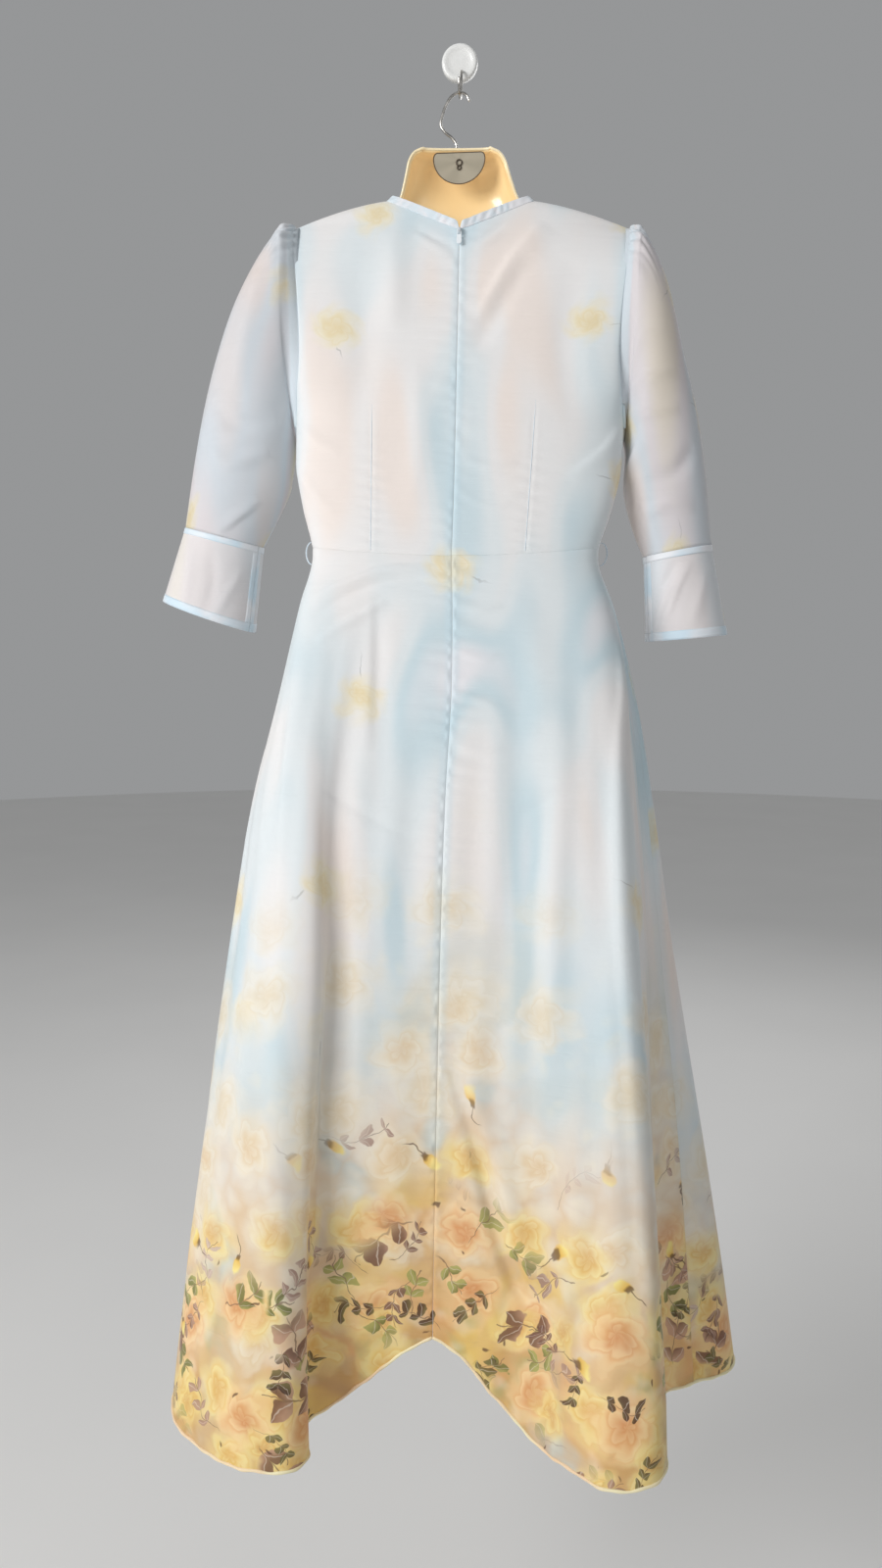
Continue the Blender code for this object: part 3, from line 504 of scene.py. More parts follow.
def cloth_sheet(
    name: str,
    points: Array,
    inside: Array,
    thickness: float,
    finish: "Finish",
    closed: bool = False,
    flat: Array | None = None,
    above: Array | None = None,
    tint: Array | None = None,
) -> bpy.types.Object:
    """A grid of points as a thin sheet of cloth whose faces point away from the inside.

    Args:
        name: the piece's name.
        points: its middle surface (rows, columns, 3).
        inside: a point on the hollow side for each row.
        thickness: the cloth's thickness.
        finish: what it is made of.
        closed: whether its columns run all round.
        flat: its UV map in metres.
        above: each point's height above the hem, or 1 m where the piece has no border print.
        tint: how much a seam's turning shows through at each point.

    Returns:
        The new piece.
    """
    rows, columns = points.shape[:2]
    half = (rows // 2, columns // 2)
    plain = np.cross(points[half[0], half[1] + 1] - points[half], points[half[0] + 1, half[1]] - points[half])
    turned = bool(np.dot(plain, normals_of(points, inside, closed)[half]) < 0)
    made = add_mesh(name, points, grid_faces(rows, columns, closed, turned), finish)
    if flat is not None:
        add_uv(made, flat)
        add_value(made, "above_hem", np.ones((rows, columns)) if above is None else above)
        add_value(made, "seam_tint", np.zeros((rows, columns)) if tint is None else tint)
    add_wall(made, thickness)
    return made


def tube(name: str, path: Array, radius: Array | float, finish: "Finish", sides: int = 10) -> bpy.types.Object:
    """A round tube: a circle carried along a path, square to it, with its ends closed to a point.

    Args:
        name: the piece's name.
        path: its middle line.
        radius: one radius, or one for each point.
        finish: what it is made of.
        sides: how many sides the circle has.

    Returns:
        The new piece.
    """
    return add_mesh(name, *tube_shape(path, radius, sides), finish)


def tube_shape(path: Array, radius: Array | float, sides: int) -> tuple[Array, list]:
    """Points and faces of a tube; see tube."""
    ahead = np.gradient(path, axis=0)
    ahead /= np.linalg.norm(ahead, axis=1, keepdims=True)
    reference = np.eye(3)[np.argmin(np.ptp(path, axis=0))]
    across = np.cross(ahead, reference)
    across /= np.linalg.norm(across, axis=1, keepdims=True)
    up = np.cross(across, ahead)
    angle = np.linspace(0, 2 * np.pi, sides, endpoint=False)
    ring = across[:, None] * np.cos(angle)[:, None] + up[:, None] * np.sin(angle)[:, None]
    width = np.broadcast_to(np.asarray(radius, float), len(path))[:, None, None]
    rings = (path[:, None] + ring * width).reshape(-1, 3)
    points = np.concatenate([rings, path[:1], path[-1:]])
    around = np.arange(sides)
    following = (around + 1) % sides
    base = (len(path) - 1) * sides
    first = np.stack([np.full(sides, len(rings)), following, around], axis=1)
    last = np.stack([np.full(sides, len(rings) + 1), base + around, base + following], axis=1)
    return points, grid_faces(len(path), sides, closed=True).tolist() + first.tolist() + last.tolist()


def joined_tubes(name: str, paths: list[Array], radius: float, finish: "Finish", sides: int = 6) -> bpy.types.Object:
    """Several tubes in one mesh."""
    points, faces, count = [], [], 0
    for path in paths:
        shape, its_faces = tube_shape(path, radius, sides)
        points.append(shape)
        faces.extend([[corner + count for corner in face] for face in its_faces])
        count += len(shape)
    return add_mesh(name, np.concatenate(points), faces, finish)


def lathe(name: str, profile: Array, finish: "Finish", segments: int = 72) -> bpy.types.Object:
    """A profile of (radius, y) turned about the Y axis, with its poles merged.

    Args:
        name: the piece's name.
        profile: its points from one pole to the other.
        finish: what it is made of.
        segments: how many steps there are round it.

    Returns:
        The new piece.
    """
    angle = np.linspace(0, 2 * np.pi, segments, endpoint=False)
    radius, depth = profile[:, 0][:, None], profile[:, 1][:, None]
    points = np.stack([radius * np.cos(angle), depth + 0 * angle, radius * np.sin(angle)], axis=-1)
    made = add_mesh(name, points, grid_faces(len(profile), segments, closed=True), finish)
    clean(made)
    return made


def clean(made: bpy.types.Object) -> None:
    """Merges doubled points and turns the faces of a closed mesh outward."""
    work = bmesh.new()
    work.from_mesh(made.data)
    bmesh.ops.remove_doubles(work, verts=work.verts, dist=1e-6)
    bmesh.ops.recalc_face_normals(work, faces=work.faces)
    work.to_mesh(made.data)
    work.free()


def prism(name: str, outlines: list[Array], half: float, finish: "Finish", edge: float) -> bpy.types.Object:
    """A flat shape with holes, filled and made thick along Z, with rounded edges.

    Args:
        name: the piece's name.
        outlines: its edge, then any holes, each (points, 2).
        half: half its thickness.
        finish: what it is made of.
        edge: how far its edges are rounded.

    Returns:
        The new piece, as a mesh in its own plane.
    """
    curve = bpy.data.curves.new(name, "CURVE")
    curve.dimensions = "2D"
    curve.fill_mode = "BOTH"
    curve.extrude = half - edge
    curve.bevel_depth = edge
    curve.bevel_resolution = 2
    curve.offset = -edge
    for outline in outlines:
        spline = curve.splines.new("POLY")
        spline.points.add(len(outline) - 1)
        flat = np.concatenate([outline, np.zeros((len(outline), 1)), np.ones((len(outline), 1))], axis=1)
        spline.points.foreach_set("co", flat.ravel())
        spline.use_cyclic_u = True
    holder = bpy.data.objects.new(name, curve)
    bpy.context.scene.collection.objects.link(holder)
    graph = bpy.context.evaluated_depsgraph_get()
    mesh = bpy.data.meshes.new_from_object(holder.evaluated_get(graph))
    bpy.data.objects.remove(holder)
    mesh.materials.clear()
    mesh.materials.append(finish.material())
    made = bpy.data.objects.new(name, mesh)
    bpy.context.scene.collection.objects.link(made)
    clean(made)
    for face in made.data.polygons:
        face.use_smooth = False
    return made


def place(made: bpy.types.Object, matrix: Matrix) -> bpy.types.Object:
    """Turns and moves the mesh itself, leaving the object at the origin."""
    made.data.transform(matrix)
    made.data.update()
    return made


# ---- Finishes


def colour(red: int, green: int, blue: int) -> tuple[float, float, float, float]:
    """A linear colour from its values on a screen, 0 to 255."""
    share = np.array([red, green, blue]) / 255
    linear = np.where(share <= 0.04045, share / 12.92, ((share + 0.055) / 1.055) ** 2.4)
    return (*[float(x) for x in linear], 1.0)


class Nodes:
    """Short ways to add shader nodes to one material."""

    def __init__(self, tree: bpy.types.NodeTree) -> None:
        """Works on the given node tree."""
        self.tree = tree

    def add(self, kind: str, inputs: dict | None = None, **settings: object) -> bpy.types.Node:
        """A node of a kind, with its settings and inputs.

        Args:
            kind: the node's type without ShaderNode.
            inputs: sockets by name or number, each a value or another node's socket.
            settings: the node's own properties.

        Returns:
            The new node.
        """
        node = self.tree.nodes.new("ShaderNode" + kind)
        for key, value in settings.items():
            setattr(node, key, value)
        for key, value in (inputs or {}).items():
            self.put(node.inputs[key], value)
        return node

    def put(self, socket: Socket, value: object) -> None:
        """Links a socket, or sets its value."""
        if isinstance(value, bpy.types.NodeSocket):
            self.tree.links.new(value, socket)
        else:
            socket.default_value = value

    def math(self, operation: str, a: object, b: object = 0.0, c: object = 0.0, clamp: bool = False) -> Socket:
        """The result of one sum."""
        return self.add("Math", {0: a, 1: b, 2: c}, operation=operation, use_clamp=clamp).outputs[0]

    def times(self, *factors: object) -> Socket:
        """The product of two or more numbers."""
        product = factors[0]
        for factor in factors[1:]:
            product = self.math("MULTIPLY", product, factor)
        return product

    def vector(self, operation: str, a: object, b: object = (0.0, 0.0, 0.0)) -> Socket:
        """The result of one vector sum; a length comes as a number."""
        node = self.add("VectorMath", {0: a, 1: b}, operation=operation)
        return node.outputs["Value" if operation in ("LENGTH", "DOT_PRODUCT") else "Vector"]

    def scaled(self, vector: Socket, factor: object) -> Socket:
        """A vector times a number."""
        return self.add("VectorMath", {"Vector": vector, "Scale": factor}, operation="SCALE").outputs[0]

    def stretched(self, vector: Socket, scale: tuple[float, float, float]) -> Socket:
        """A vector times another, part by part."""
        return self.vector("MULTIPLY", vector, scale)

    def parts(self, vector: Socket) -> tuple[Socket, Socket, Socket]:
        """The three parts of a vector."""
        return tuple(self.add("SeparateXYZ", {0: vector}).outputs)

    def noise(self, vector: Socket, scale: float, detail: float = 2.0, warp: float = 0.0) -> Socket:
        """Smooth noise from 0 to 1."""
        inputs = {"Vector": vector, "Scale": scale, "Detail": detail, "Distortion": warp}
        return self.add("TexNoise", inputs).outputs["Fac"]

    def step(self, value: Socket, low: object, high: object) -> Socket:
        """0 below low, 1 above high, a smooth S between."""
        inputs = {"Value": value, "From Min": low, "From Max": high}
        return self.add("MapRange", inputs, interpolation_type="SMOOTHSTEP").outputs["Result"]

    def fall(self, value: Socket, low: object, high: object) -> Socket:
        """1 below low, 0 above high, a smooth S between."""
        inputs = {"Value": value, "From Min": low, "From Max": high, "To Min": 1.0, "To Max": 0.0}
        return self.add("MapRange", inputs, interpolation_type="SMOOTHSTEP").outputs["Result"]

    def mix(self, share: object, a: object, b: object, blend: str = "MIX") -> Socket:
        """Colour a, going over to colour b."""
        node = self.add("Mix", data_type="RGBA", blend_type=blend)
        for number, value in ((0, share), (6, a), (7, b)):
            self.put(node.inputs[number], value)
        return node.outputs[2]

    def ramp(self, share: Socket, stops: tuple[tuple[float, tuple], ...]) -> Socket:
        """A run of colours, each at its place from 0 to 1."""
        node = self.add("ValToRGB", {0: share})
        node.color_ramp.interpolation = "EASE"
        while len(node.color_ramp.elements) < len(stops):
            node.color_ramp.elements.new(1.0)
        for element, (at, value) in zip(node.color_ramp.elements, stops):
            element.position = at
            element.color = value
        return node.outputs[0]

    def bump(self, height: Socket, distance: float, strength: float = 1.0, under: Socket | None = None) -> Socket:
        """A normal that rises with a height."""
        inputs = {"Height": height, "Distance": distance, "Strength": strength}
        if under is not None:
            inputs["Normal"] = under
        return self.add("Bump", inputs).outputs[0]


@dataclass(frozen=True)
class Finish:
    """What a piece is made of. Each kind draws its own nodes.

    Attributes:
        name: the finish's name.
        slot: not used.
        roughness: how dull the surface is.
    """

    name: str = "finish"
    slot: str = ""
    roughness: float = 0.5

    def material(self) -> bpy.types.Material:
        """The finish's material, made the first time it is asked for."""
        found = bpy.data.materials.get("look_" + self.name)
        if found is not None:
            return found
        made = bpy.data.materials.new("look_" + self.name)
        made.use_nodes = True
        shader = made.node_tree.nodes["Principled BSDF"]
        shader.inputs["Roughness"].default_value = self.roughness
        self.draw(Nodes(made.node_tree), shader)
        return made

    def draw(self, nodes: Nodes, shader: bpy.types.Node) -> None:
        """Adds the finish's own nodes to its shader."""
        raise NotImplementedError


@dataclass(frozen=True)
class Layer:
    """One scatter of a motif over the cloth.

    Attributes:
        pitch: the mean distance between motifs.
        size: the motif's own size.
        low: height above the hem where it starts.
        high: height above the hem where it ends.
        share: the share of places that hold one.
        seed: where in the endless scatter this layer is read.
        jitter: how far the places stray from a square grid, 0 to 1.
        bunching: how much the motifs gather in some places and leave others bare.
    """

    pitch: float
    size: float
    low: float
    high: float
    share: float
    seed: float
    jitter: float = 0.7
    bunching: float = 0.0


@dataclass(frozen=True)
class Scatter:
    """What a layer gives at each point of the cloth.

    Attributes:
        local: place from the motif's middle in units of its size, turned at random.
        chance: three random numbers for this motif.
        shown: how strongly it is printed here, from 0 to 1.
    """

    local: Socket
    chance: tuple[Socket, Socket, Socket]
    shown: Socket


@dataclass(frozen=True)
class RoseKind:
    """A layer of roses with its colours.

    Attributes:
        layer: where they are.
        light: the petals' pale tone.
        deep: the tone in the petals' folds.
        heart: the tone in the middle.
        strength: how strongly they are printed.
        stalk: how strongly their stalks are.
    """

    layer: Layer
    light: Tone
    deep: Tone
    heart: Tone
    strength: float
    stalk: float = 0.0


@dataclass(frozen=True)
class LeafKind:
    """A layer of sprigs with its colours.

    Attributes:
        layer: where they are.
        light: one tone of the leaves.
        deep: the other tone.
        pairs: how many pairs of leaves a sprig has.
        width: a leaf's half width over its length.
    """

    layer: Layer
    light: Tone
    deep: Tone
    pairs: float
    width: float


FAINT_PLACES = Layer(0.160, 0.036, 0.44, 3.00, 0.84, 3.0, 0.60)
FAINT_ROSES = (RoseKind(FAINT_PLACES, (240, 231, 206), (234, 219, 178), (231, 210, 162), 0.95, 0.45),)
HEM_ROSES = (
    RoseKind(Layer(0.105, 0.050, 0.20, 0.62, 0.85, 5.0, 0.60), (240, 233, 218), (230, 216, 188), (230, 208, 168), 0.75),
    RoseKind(Layer(0.086, 0.042, 0.08, 0.42, 0.85, 9.0, 0.60), (243, 232, 210), (230, 206, 164), (226, 190, 138), 0.75),
    RoseKind(Layer(0.078, 0.040, -1.0, 0.27, 0.80, 7.0, 0.55), (248, 229, 162), (234, 192, 96), (218, 160, 76), 0.85),
    RoseKind(Layer(0.092, 0.044, -1.0, 0.21, 0.80, 11.0, 0.50), (246, 212, 160), (228, 164, 104), (206, 126, 72), 0.90),
    RoseKind(Layer(0.098, 0.030, -1.0, 0.16, 0.55, 13.0, 0.60), (244, 224, 150), (228, 182, 88), (204, 142, 72), 0.75),
)
LEAVES = (
    LeafKind(Layer(0.075, 0.0180, 0.02, 0.22, 0.48, 21.0, 0.7, 0.5), (170, 168, 98), (112, 118, 62), 2.0, 0.33),
    LeafKind(Layer(0.074, 0.0270, -1.0, 0.17, 0.48, 23.0, 0.6, 0.6), (200, 158, 134), (116, 78, 64), 2.0, 0.33),
    LeafKind(Layer(0.062, 0.0130, -1.0, 0.13, 0.54, 25.0, 0.6, 0.8), (116, 108, 66), (70, 46, 36), 3.0, 0.34),
    LeafKind(Layer(0.110, 0.0150, 0.08, 0.32, 0.50, 27.0, 0.70), (206, 182, 168), (164, 132, 120), 3.0, 0.24),
    LeafKind(Layer(0.074, 0.0150, -1.0, 0.19, 0.44, 29.0, 0.6, 0.7), (184, 146, 126), (126, 92, 78), 3.0, 0.26),
)
BUDS = Layer(0.088, 0.0115, 0.05, 0.34, 0.60, 31.0, 0.65)
SEEDS = Layer(0.046, 0.0055, -1.0, 0.24, 0.36, 41.0, 0.8)


@dataclass(frozen=True)
class PrintedCloth(Finish):
    """Smooth cloth with a watercolour ground and a scattered print of roses, buds and leaves.

    The ground is soft noise through pale blues, lilac and cream. Each motif is drawn round the middle of
    its own cell, in places that are drawn by lot, thick toward the hem and thin above.

    Attributes:
        alpha: how solid the cloth is.
        has_hem: whether the print's dense border shows on it.
        tints: the ground's colours in the order of its streaks.
        allowance: the tint where a seam's turning lies under the cloth.
    """

    name: str = "printed_cloth"
    slot: str = "printed_cloth"
    roughness: float = 0.70
    alpha: float = 1.0
    has_hem: bool = True
    tints: tuple[Tone, ...] = (
        (240, 229, 222),
        (236, 234, 233),
        (226, 232, 234),
        (206, 222, 228),
        (234, 233, 236),
    )
    allowance: Tone = (198, 224, 236)

    def draw(self, nodes: Nodes, shader: bpy.types.Node) -> None:
        """The ground, the motif layers over it, and the cloth's fine grain."""
        flat = nodes.add("UVMap", uv_map="cloth").outputs[0]
        above = nodes.add("Attribute", attribute_name="above_hem").outputs["Fac"]
        place = nodes.add("TexCoord").outputs["Object"]
        warp = nodes.add("TexNoise", {"Vector": place, "Scale": 55.0, "Detail": 2.0}).outputs["Color"]
        centred = nodes.vector("SUBTRACT", warp, (0.5, 0.5, 0.5))
        slow = nodes.add("TexNoise", {"Vector": place, "Scale": 22.0, "Detail": 1.0}).outputs["Color"]
        waved = nodes.vector("ADD", flat, nodes.scaled(centred, 0.014))
        waved = nodes.vector("ADD", waved, nodes.scaled(nodes.vector("SUBTRACT", slow, (0.5, 0.5, 0.5)), 0.030))
        streaks = nodes.noise(nodes.stretched(place, (10.5, 10.5, 2.1)), 1.0, 1.0, 0.35)
        shown = nodes.ramp(streaks, tuple(zip((0.30, 0.42, 0.52, 0.62, 0.74), (colour(*tint) for tint in self.tints))))
        tinted = nodes.add("Attribute", attribute_name="seam_tint").outputs["Fac"]
        if self.has_hem:
            shown = self._border_ground(nodes, shown, place, above, streaks)
        for kind in FAINT_ROSES + (HEM_ROSES if self.has_hem else ()):
            shown = self._roses(nodes, shown, waved, above, kind)
        if self.has_hem:
            for kind in LEAVES:
                shown = self._leaves(nodes, shown, waved, above, kind)
            shown = self._buds(nodes, shown, waved, above)
            shown = self._seeds(nodes, shown, waved, above)
        shown = nodes.mix(tinted, shown, colour(*self.allowance))
        nodes.put(shader.inputs["Base Color"], shown)
        grain = nodes.noise(nodes.stretched(place, (1.0, 1.0, 0.55)), 1500.0, 1.0)
        level = nodes.noise(nodes.stretched(place, (9.0, 9.0, 110.0)), 1.0, 2.0, 0.6)
        soft = nodes.noise(nodes.stretched(place, (1.0, 1.0, 0.5)), 60.0, 2.0)
        normal = nodes.bump(level, 0.0014, 0.45, nodes.bump(grain, 0.00012, 0.35))
        nodes.put(shader.inputs["Normal"], nodes.bump(soft, 0.0008, 0.35, normal))
        shader.inputs["Sheen Weight"].default_value = 0.25
        shader.inputs["Sheen Roughness"].default_value = 0.45
        shader.inputs["Specular IOR Level"].default_value = 0.20
        shader.inputs["Alpha"].default_value = self.alpha

    def scatter(self, nodes: Nodes, flat: Socket, above: Socket, layer: Layer) -> Scatter:
        """Where each motif of a layer is, and how it is turned.

        Args:
            nodes: the material's nodes.
            flat: the cloth's own coordinates, in metres.
            above: height above the hem.
            layer: the layer's sizes.

        Returns:
            The place from the nearest motif's middle, its random numbers and how strongly it shows.
        """
        moved = nodes.vector("ADD", flat, (layer.seed * 7.31, layer.seed * 3.17, 0.0))
        inputs = {"Vector": moved, "Scale": 1 / layer.pitch, "Randomness": layer.jitter}
        cell = nodes.add("TexVoronoi", inputs, voronoi_dimensions="2D", feature="F1")
        border = nodes.add("TexVoronoi", inputs, voronoi_dimensions="2D", feature="DISTANCE_TO_EDGE")
        offset = nodes.scaled(nodes.vector("SUBTRACT", moved, cell.outputs["Position"]), 1 / layer.size)
        chance = nodes.parts(cell.outputs["Color"])
        turned = nodes.add("VectorRotate", {"Vector": offset, "Angle": nodes.times(chance[0], 6.28)})
        share = layer.share
        if layer.bunching:
            crowd = nodes.noise(nodes.stretched(cell.outputs["Position"], (8.0, 8.0, 1.0)), 1.0, 1.0)
            share = nodes.math("MULTIPLY_ADD", crowd, 4.0 * layer.bunching, share - 2.0 * layer.bunching)
        shown = nodes.math("LESS_THAN", chance[1], share)
        shown = nodes.times(shown, nodes.step(border.outputs["Distance"], 0.0, 0.10))
        shown = nodes.times(shown, nodes.fall(above, 0.75 * layer.high, layer.high))
        shown = nodes.times(shown, nodes.step(above, layer.low - 0.03, layer.low + 0.03))
        return Scatter(turned.outputs[0], chance, shown)

    def _border_ground(self, nodes: Nodes, under: Socket, place: Socket, above: Socket, drift: Socket) -> Socket:
        """Cream and soft pink toward the hem, with blots of yellow, grey-green, peach and pale blue."""
        edge = nodes.math("MULTIPLY_ADD", nodes.math("SUBTRACT", drift, 0.5), 0.30, above)
        base = nodes.ramp(
            nodes.times(edge, 2.0),
            (
                (0.02, colour(208, 164, 104)),
                (0.18, colour(222, 188, 140)),
                (0.38, colour(231, 212, 186)),
                (0.62, colour(229, 221, 210)),
                (0.86, colour(220, 223, 220)),
            ),
        )
        shown = nodes.mix(nodes.fall(edge, 0.27, 0.52), under, base)
        blots = (
            (9.0, (0.0, 0.0, 0.0), 0.50, 0.66, 0.26, 0.80, (240, 208, 116)),
            (12.0, (3.0, 1.0, 2.0), 0.54, 0.68, 0.19, 0.70, (232, 176, 122)),
            (10.0, (5.0, 7.0, 1.0), 0.55, 0.68, 0.46, 0.70, (190, 204, 204)),
            (15.0, (8.0, 2.0, 6.0), 0.57, 0.70, 0.22, 0.65, (176, 172, 116)),
            (11.0, (1.0, 9.0, 4.0), 0.57, 0.70, 0.20, 0.60, (184, 142, 110)),
            (7.0, (4.0, 4.0, 9.0), 0.50, 0.66, 0.60, 0.50, (208, 204, 184)),
        )
        for scale, shift, low, high, reach, strength, tone in blots:
            blot = nodes.step(nodes.noise(nodes.vector("ADD", place, shift), scale, 2.5, 0.6), low, high)
            near = nodes.times(nodes.fall(above, 0.5 * reach, reach), strength)
            shown = nodes.mix(nodes.times(blot, near), shown, colour(*tone))
        bent = nodes.add("TexNoise", {"Vector": place, "Scale": 30.0, "Detail": 2.0}).outputs["Color"]
        bent = nodes.vector("ADD", place, nodes.scaled(bent, 0.030))
        petal = nodes.add("TexVoronoi", {"Vector": bent, "Scale": 34.0}, feature="F1").outputs["Distance"]
        rim = nodes.times(nodes.step(petal, 0.25, 0.75), nodes.fall(edge, 0.20, 0.42))
        shown = nodes.mix(nodes.times(rim, 0.45), shown, colour(216, 178, 128))
        heart = nodes.times(nodes.fall(petal, 0.05, 0.45), nodes.fall(edge, 0.30, 0.58))
        return nodes.mix(nodes.times(heart, 0.35), shown, colour(246, 236, 212))

    def _roses(self, nodes: Nodes, under: Socket, flat: Socket, above: Socket, kind: RoseKind) -> Socket:
        """Soft roses: a spiral of petals, each rim bulging as |sin 2.5 angle|, pale there and deep below it.

        Args:
            nodes: the material's nodes.
            under: the colour so far.
            flat: the cloth's own coordinates.
            above: height above the hem.
            kind: the layer and its colours.

        Returns:
            The colour with the roses over it.
        """
        spot = self.scatter(nodes, flat, above, kind.layer)
        x, y, _ = nodes.parts(spot.local)
        angle = nodes.math("ARCTAN2", y, x)
        away = nodes.vector("LENGTH", spot.local)
        turn = nodes.math("MULTIPLY_ADD", spot.chance[2], 6.28, nodes.times(angle, 2.5))
        bulge = nodes.math("ABSOLUTE", nodes.math("SINE", nodes.math("MULTIPLY_ADD", away, 4.6, turn)))
        reach = nodes.math("MULTIPLY_ADD", bulge, -0.17, away)
        part = nodes.math("FRACT", nodes.math("MULTIPLY_ADD", reach, 3.3, nodes.times(angle, 0.1592)))
        fold = nodes.math("POWER", nodes.math("SUBTRACT", 1.0, part), 1.5)
        fold = nodes.times(fold, nodes.step(part, 0.0, 0.20), nodes.fall(reach, 0.1, 0.95))
        tone = nodes.mix(fold, colour(*kind.light), colour(*kind.deep))
        tone = nodes.mix(nodes.times(nodes.fall(away, 0.05, 0.55), 0.60), tone, colour(*kind.heart))
        if kind.stalk:
            bent = nodes.math("MULTIPLY_ADD", nodes.times(x, x), -0.22, y)
            thin = nodes.fall(nodes.math("ABSOLUTE", bent), 0.010, 0.036)
            line = nodes.times(nodes.step(x, 0.6, 0.8), nodes.fall(x, 0.9, 1.4), thin, spot.shown, kind.stalk)
            under = nodes.mix(line, under, colour(150, 150, 148))
        return nodes.mix(nodes.times(nodes.fall(reach, 0.22, 0.92), spot.shown, kind.strength), under, tone)

    def _leaves(self, nodes: Nodes, under: Socket, flat: Socket, above: Socket, kind: LeafKind) -> Socket:
        """Leaves leave a bent stalk in pairs at 45 degrees, each as wide as a half sine of its length.

        Args:
            nodes: the material's nodes.
            under: the colour so far.
            flat: the cloth's own coordinates.
            above: height above the hem.
            kind: the layer and its colours.

        Returns:
            The colour with the sprigs over it.
        """
        spot = self.scatter(nodes, flat, above, kind.layer)
        x, y, _ = nodes.parts(spot.local)
        bend = nodes.times(nodes.math("SUBTRACT", spot.chance[2], 0.5), 0.5)
        y = nodes.math("MULTIPLY_ADD", nodes.times(x, x), bend, y)
        along = nodes.math("ADD", x, kind.pairs / 2)
        count = nodes.math("FLOOR", along)
        part = nodes.math("SUBTRACT", nodes.math("FRACT", along), 0.08)
        aside = nodes.math("ABSOLUTE", y)
        length = nodes.times(nodes.math("ADD", part, aside), 0.7071)
        off = nodes.times(nodes.math("SUBTRACT", aside, part), 0.7071)
        wide = nodes.times(nodes.math("SINE", nodes.times(length, 3.1416 / 0.95)), kind.width)
        inside = nodes.times(nodes.math("GREATER_THAN", length, 0.0), nodes.math("LESS_THAN", length, 0.95))
        edge = nodes.math("SUBTRACT", wide, nodes.math("ABSOLUTE", off))
        leaf = nodes.times(inside, nodes.step(edge, 0.0, 0.05))
        on_stalk = nodes.math("GREATER_THAN", count, -0.5)
        on_stalk = nodes.times(on_stalk, nodes.math("LESS_THAN", count, kind.pairs - 0.5))
        leaf = nodes.times(leaf, on_stalk, spot.shown)
        side = nodes.math("MULTIPLY_ADD", off, 1.6, nodes.math("MULTIPLY_ADD", length, -0.5, spot.chance[2]))
        tone = nodes.mix(nodes.step(side, -0.1, 0.7), colour(*kind.deep), colour(*kind.light))
        vein = nodes.fall(nodes.math("ABSOLUTE", off), 0.006, 0.030)
        tone = nodes.mix(nodes.times(vein, 0.5), tone, colour(236, 222, 206))
        shown = nodes.mix(nodes.times(leaf, 0.88), under, tone)
        reach = nodes.math("LESS_THAN", nodes.math("ABSOLUTE", nodes.math("ADD", x, 0.6)), kind.pairs / 2 + 0.6)
        stalk = nodes.times(nodes.fall(aside, 0.012, 0.042), nodes.times(reach, spot.shown))
        return nodes.mix(nodes.times(stalk, 0.7), shown, colour(112, 84, 70))

    def _buds(self, nodes: Nodes, under: Socket, flat: Socket, above: Socket) -> Socket:
        """Yellow buds, an ellipse each, with a dark cup behind and a bent stalk."""
        spot = self.scatter(nodes, flat, above, BUDS)
        x, y, _ = nodes.parts(spot.local)
        y = nodes.math("MULTIPLY_ADD", nodes.times(x, x), 0.10, y)
        oval = nodes.add("CombineXYZ", {0: nodes.times(x, 0.85), 1: nodes.times(y, 1.35)})
        petal = nodes.times(nodes.fall(nodes.vector("LENGTH", oval.outputs[0]), 0.50, 0.85), spot.shown)
        tone = nodes.mix(nodes.step(x, -0.5, 0.8), colour(234, 190, 96), colour(248, 230, 150))
        under = nodes.mix(petal, under, tone)
        cup = nodes.times(nodes.fall(x, -0.55, -0.20), nodes.step(x, -1.15, -0.90))
        cup = nodes.times(cup, nodes.fall(nodes.math("ABSOLUTE", y), 0.22, 0.42))
        line = nodes.times(nodes.step(x, -3.0, -2.4), nodes.fall(x, -0.7, -0.5))
        line = nodes.times(line, nodes.fall(nodes.math("ABSOLUTE", y), 0.03, 0.09))
        dark = nodes.times(nodes.math("MAXIMUM", cup, line), spot.shown)
        return nodes.mix(nodes.times(dark, 0.8), under, colour(104, 78, 58))

    def _seeds(self, nodes: Nodes, under: Socket, flat: Socket, above: Socket) -> Socket:
        """Small dark seeds, each a slender ellipse."""
        spot = self.scatter(nodes, flat, above, SEEDS)
        oval = nodes.vector("LENGTH", nodes.stretched(spot.local, (1.0, 2.8, 1.0)))
        inside = nodes.times(nodes.fall(oval, 0.55, 1.0), spot.shown, 0.8)
        return nodes.mix(inside, under, colour(96, 68, 52))


@dataclass(frozen=True)
class PlainCloth(Finish):
    """Cloth in one pale watercolour tint that shifts a little from place to place.

    Attributes:
        first: one end of the tint.
        second: the other end.
        alpha: how solid the cloth is.
        scale: how close the shifts of tint lie.
    """

    first: Tone = (222, 234, 240)
    second: Tone = (232, 228, 238)
    alpha: float = 1.0
    scale: float = 30.0

    def draw(self, nodes: Nodes, shader: bpy.types.Node) -> None:
        """Two tints mixed by noise, over a fine grain."""
        place = nodes.add("TexCoord").outputs["Object"]
        share = nodes.step(nodes.noise(place, self.scale, 2.0, 0.4), 0.35, 0.65)
        nodes.put(shader.inputs["Base Color"], nodes.mix(share, colour(*self.first), colour(*self.second)))
        grain = nodes.noise(place, 1400.0, 1.0)
        nodes.put(shader.inputs["Normal"], nodes.bump(grain, 0.00015, 0.4))
        shader.inputs["Sheen Weight"].default_value = 0.25
        shader.inputs["Alpha"].default_value = self.alpha


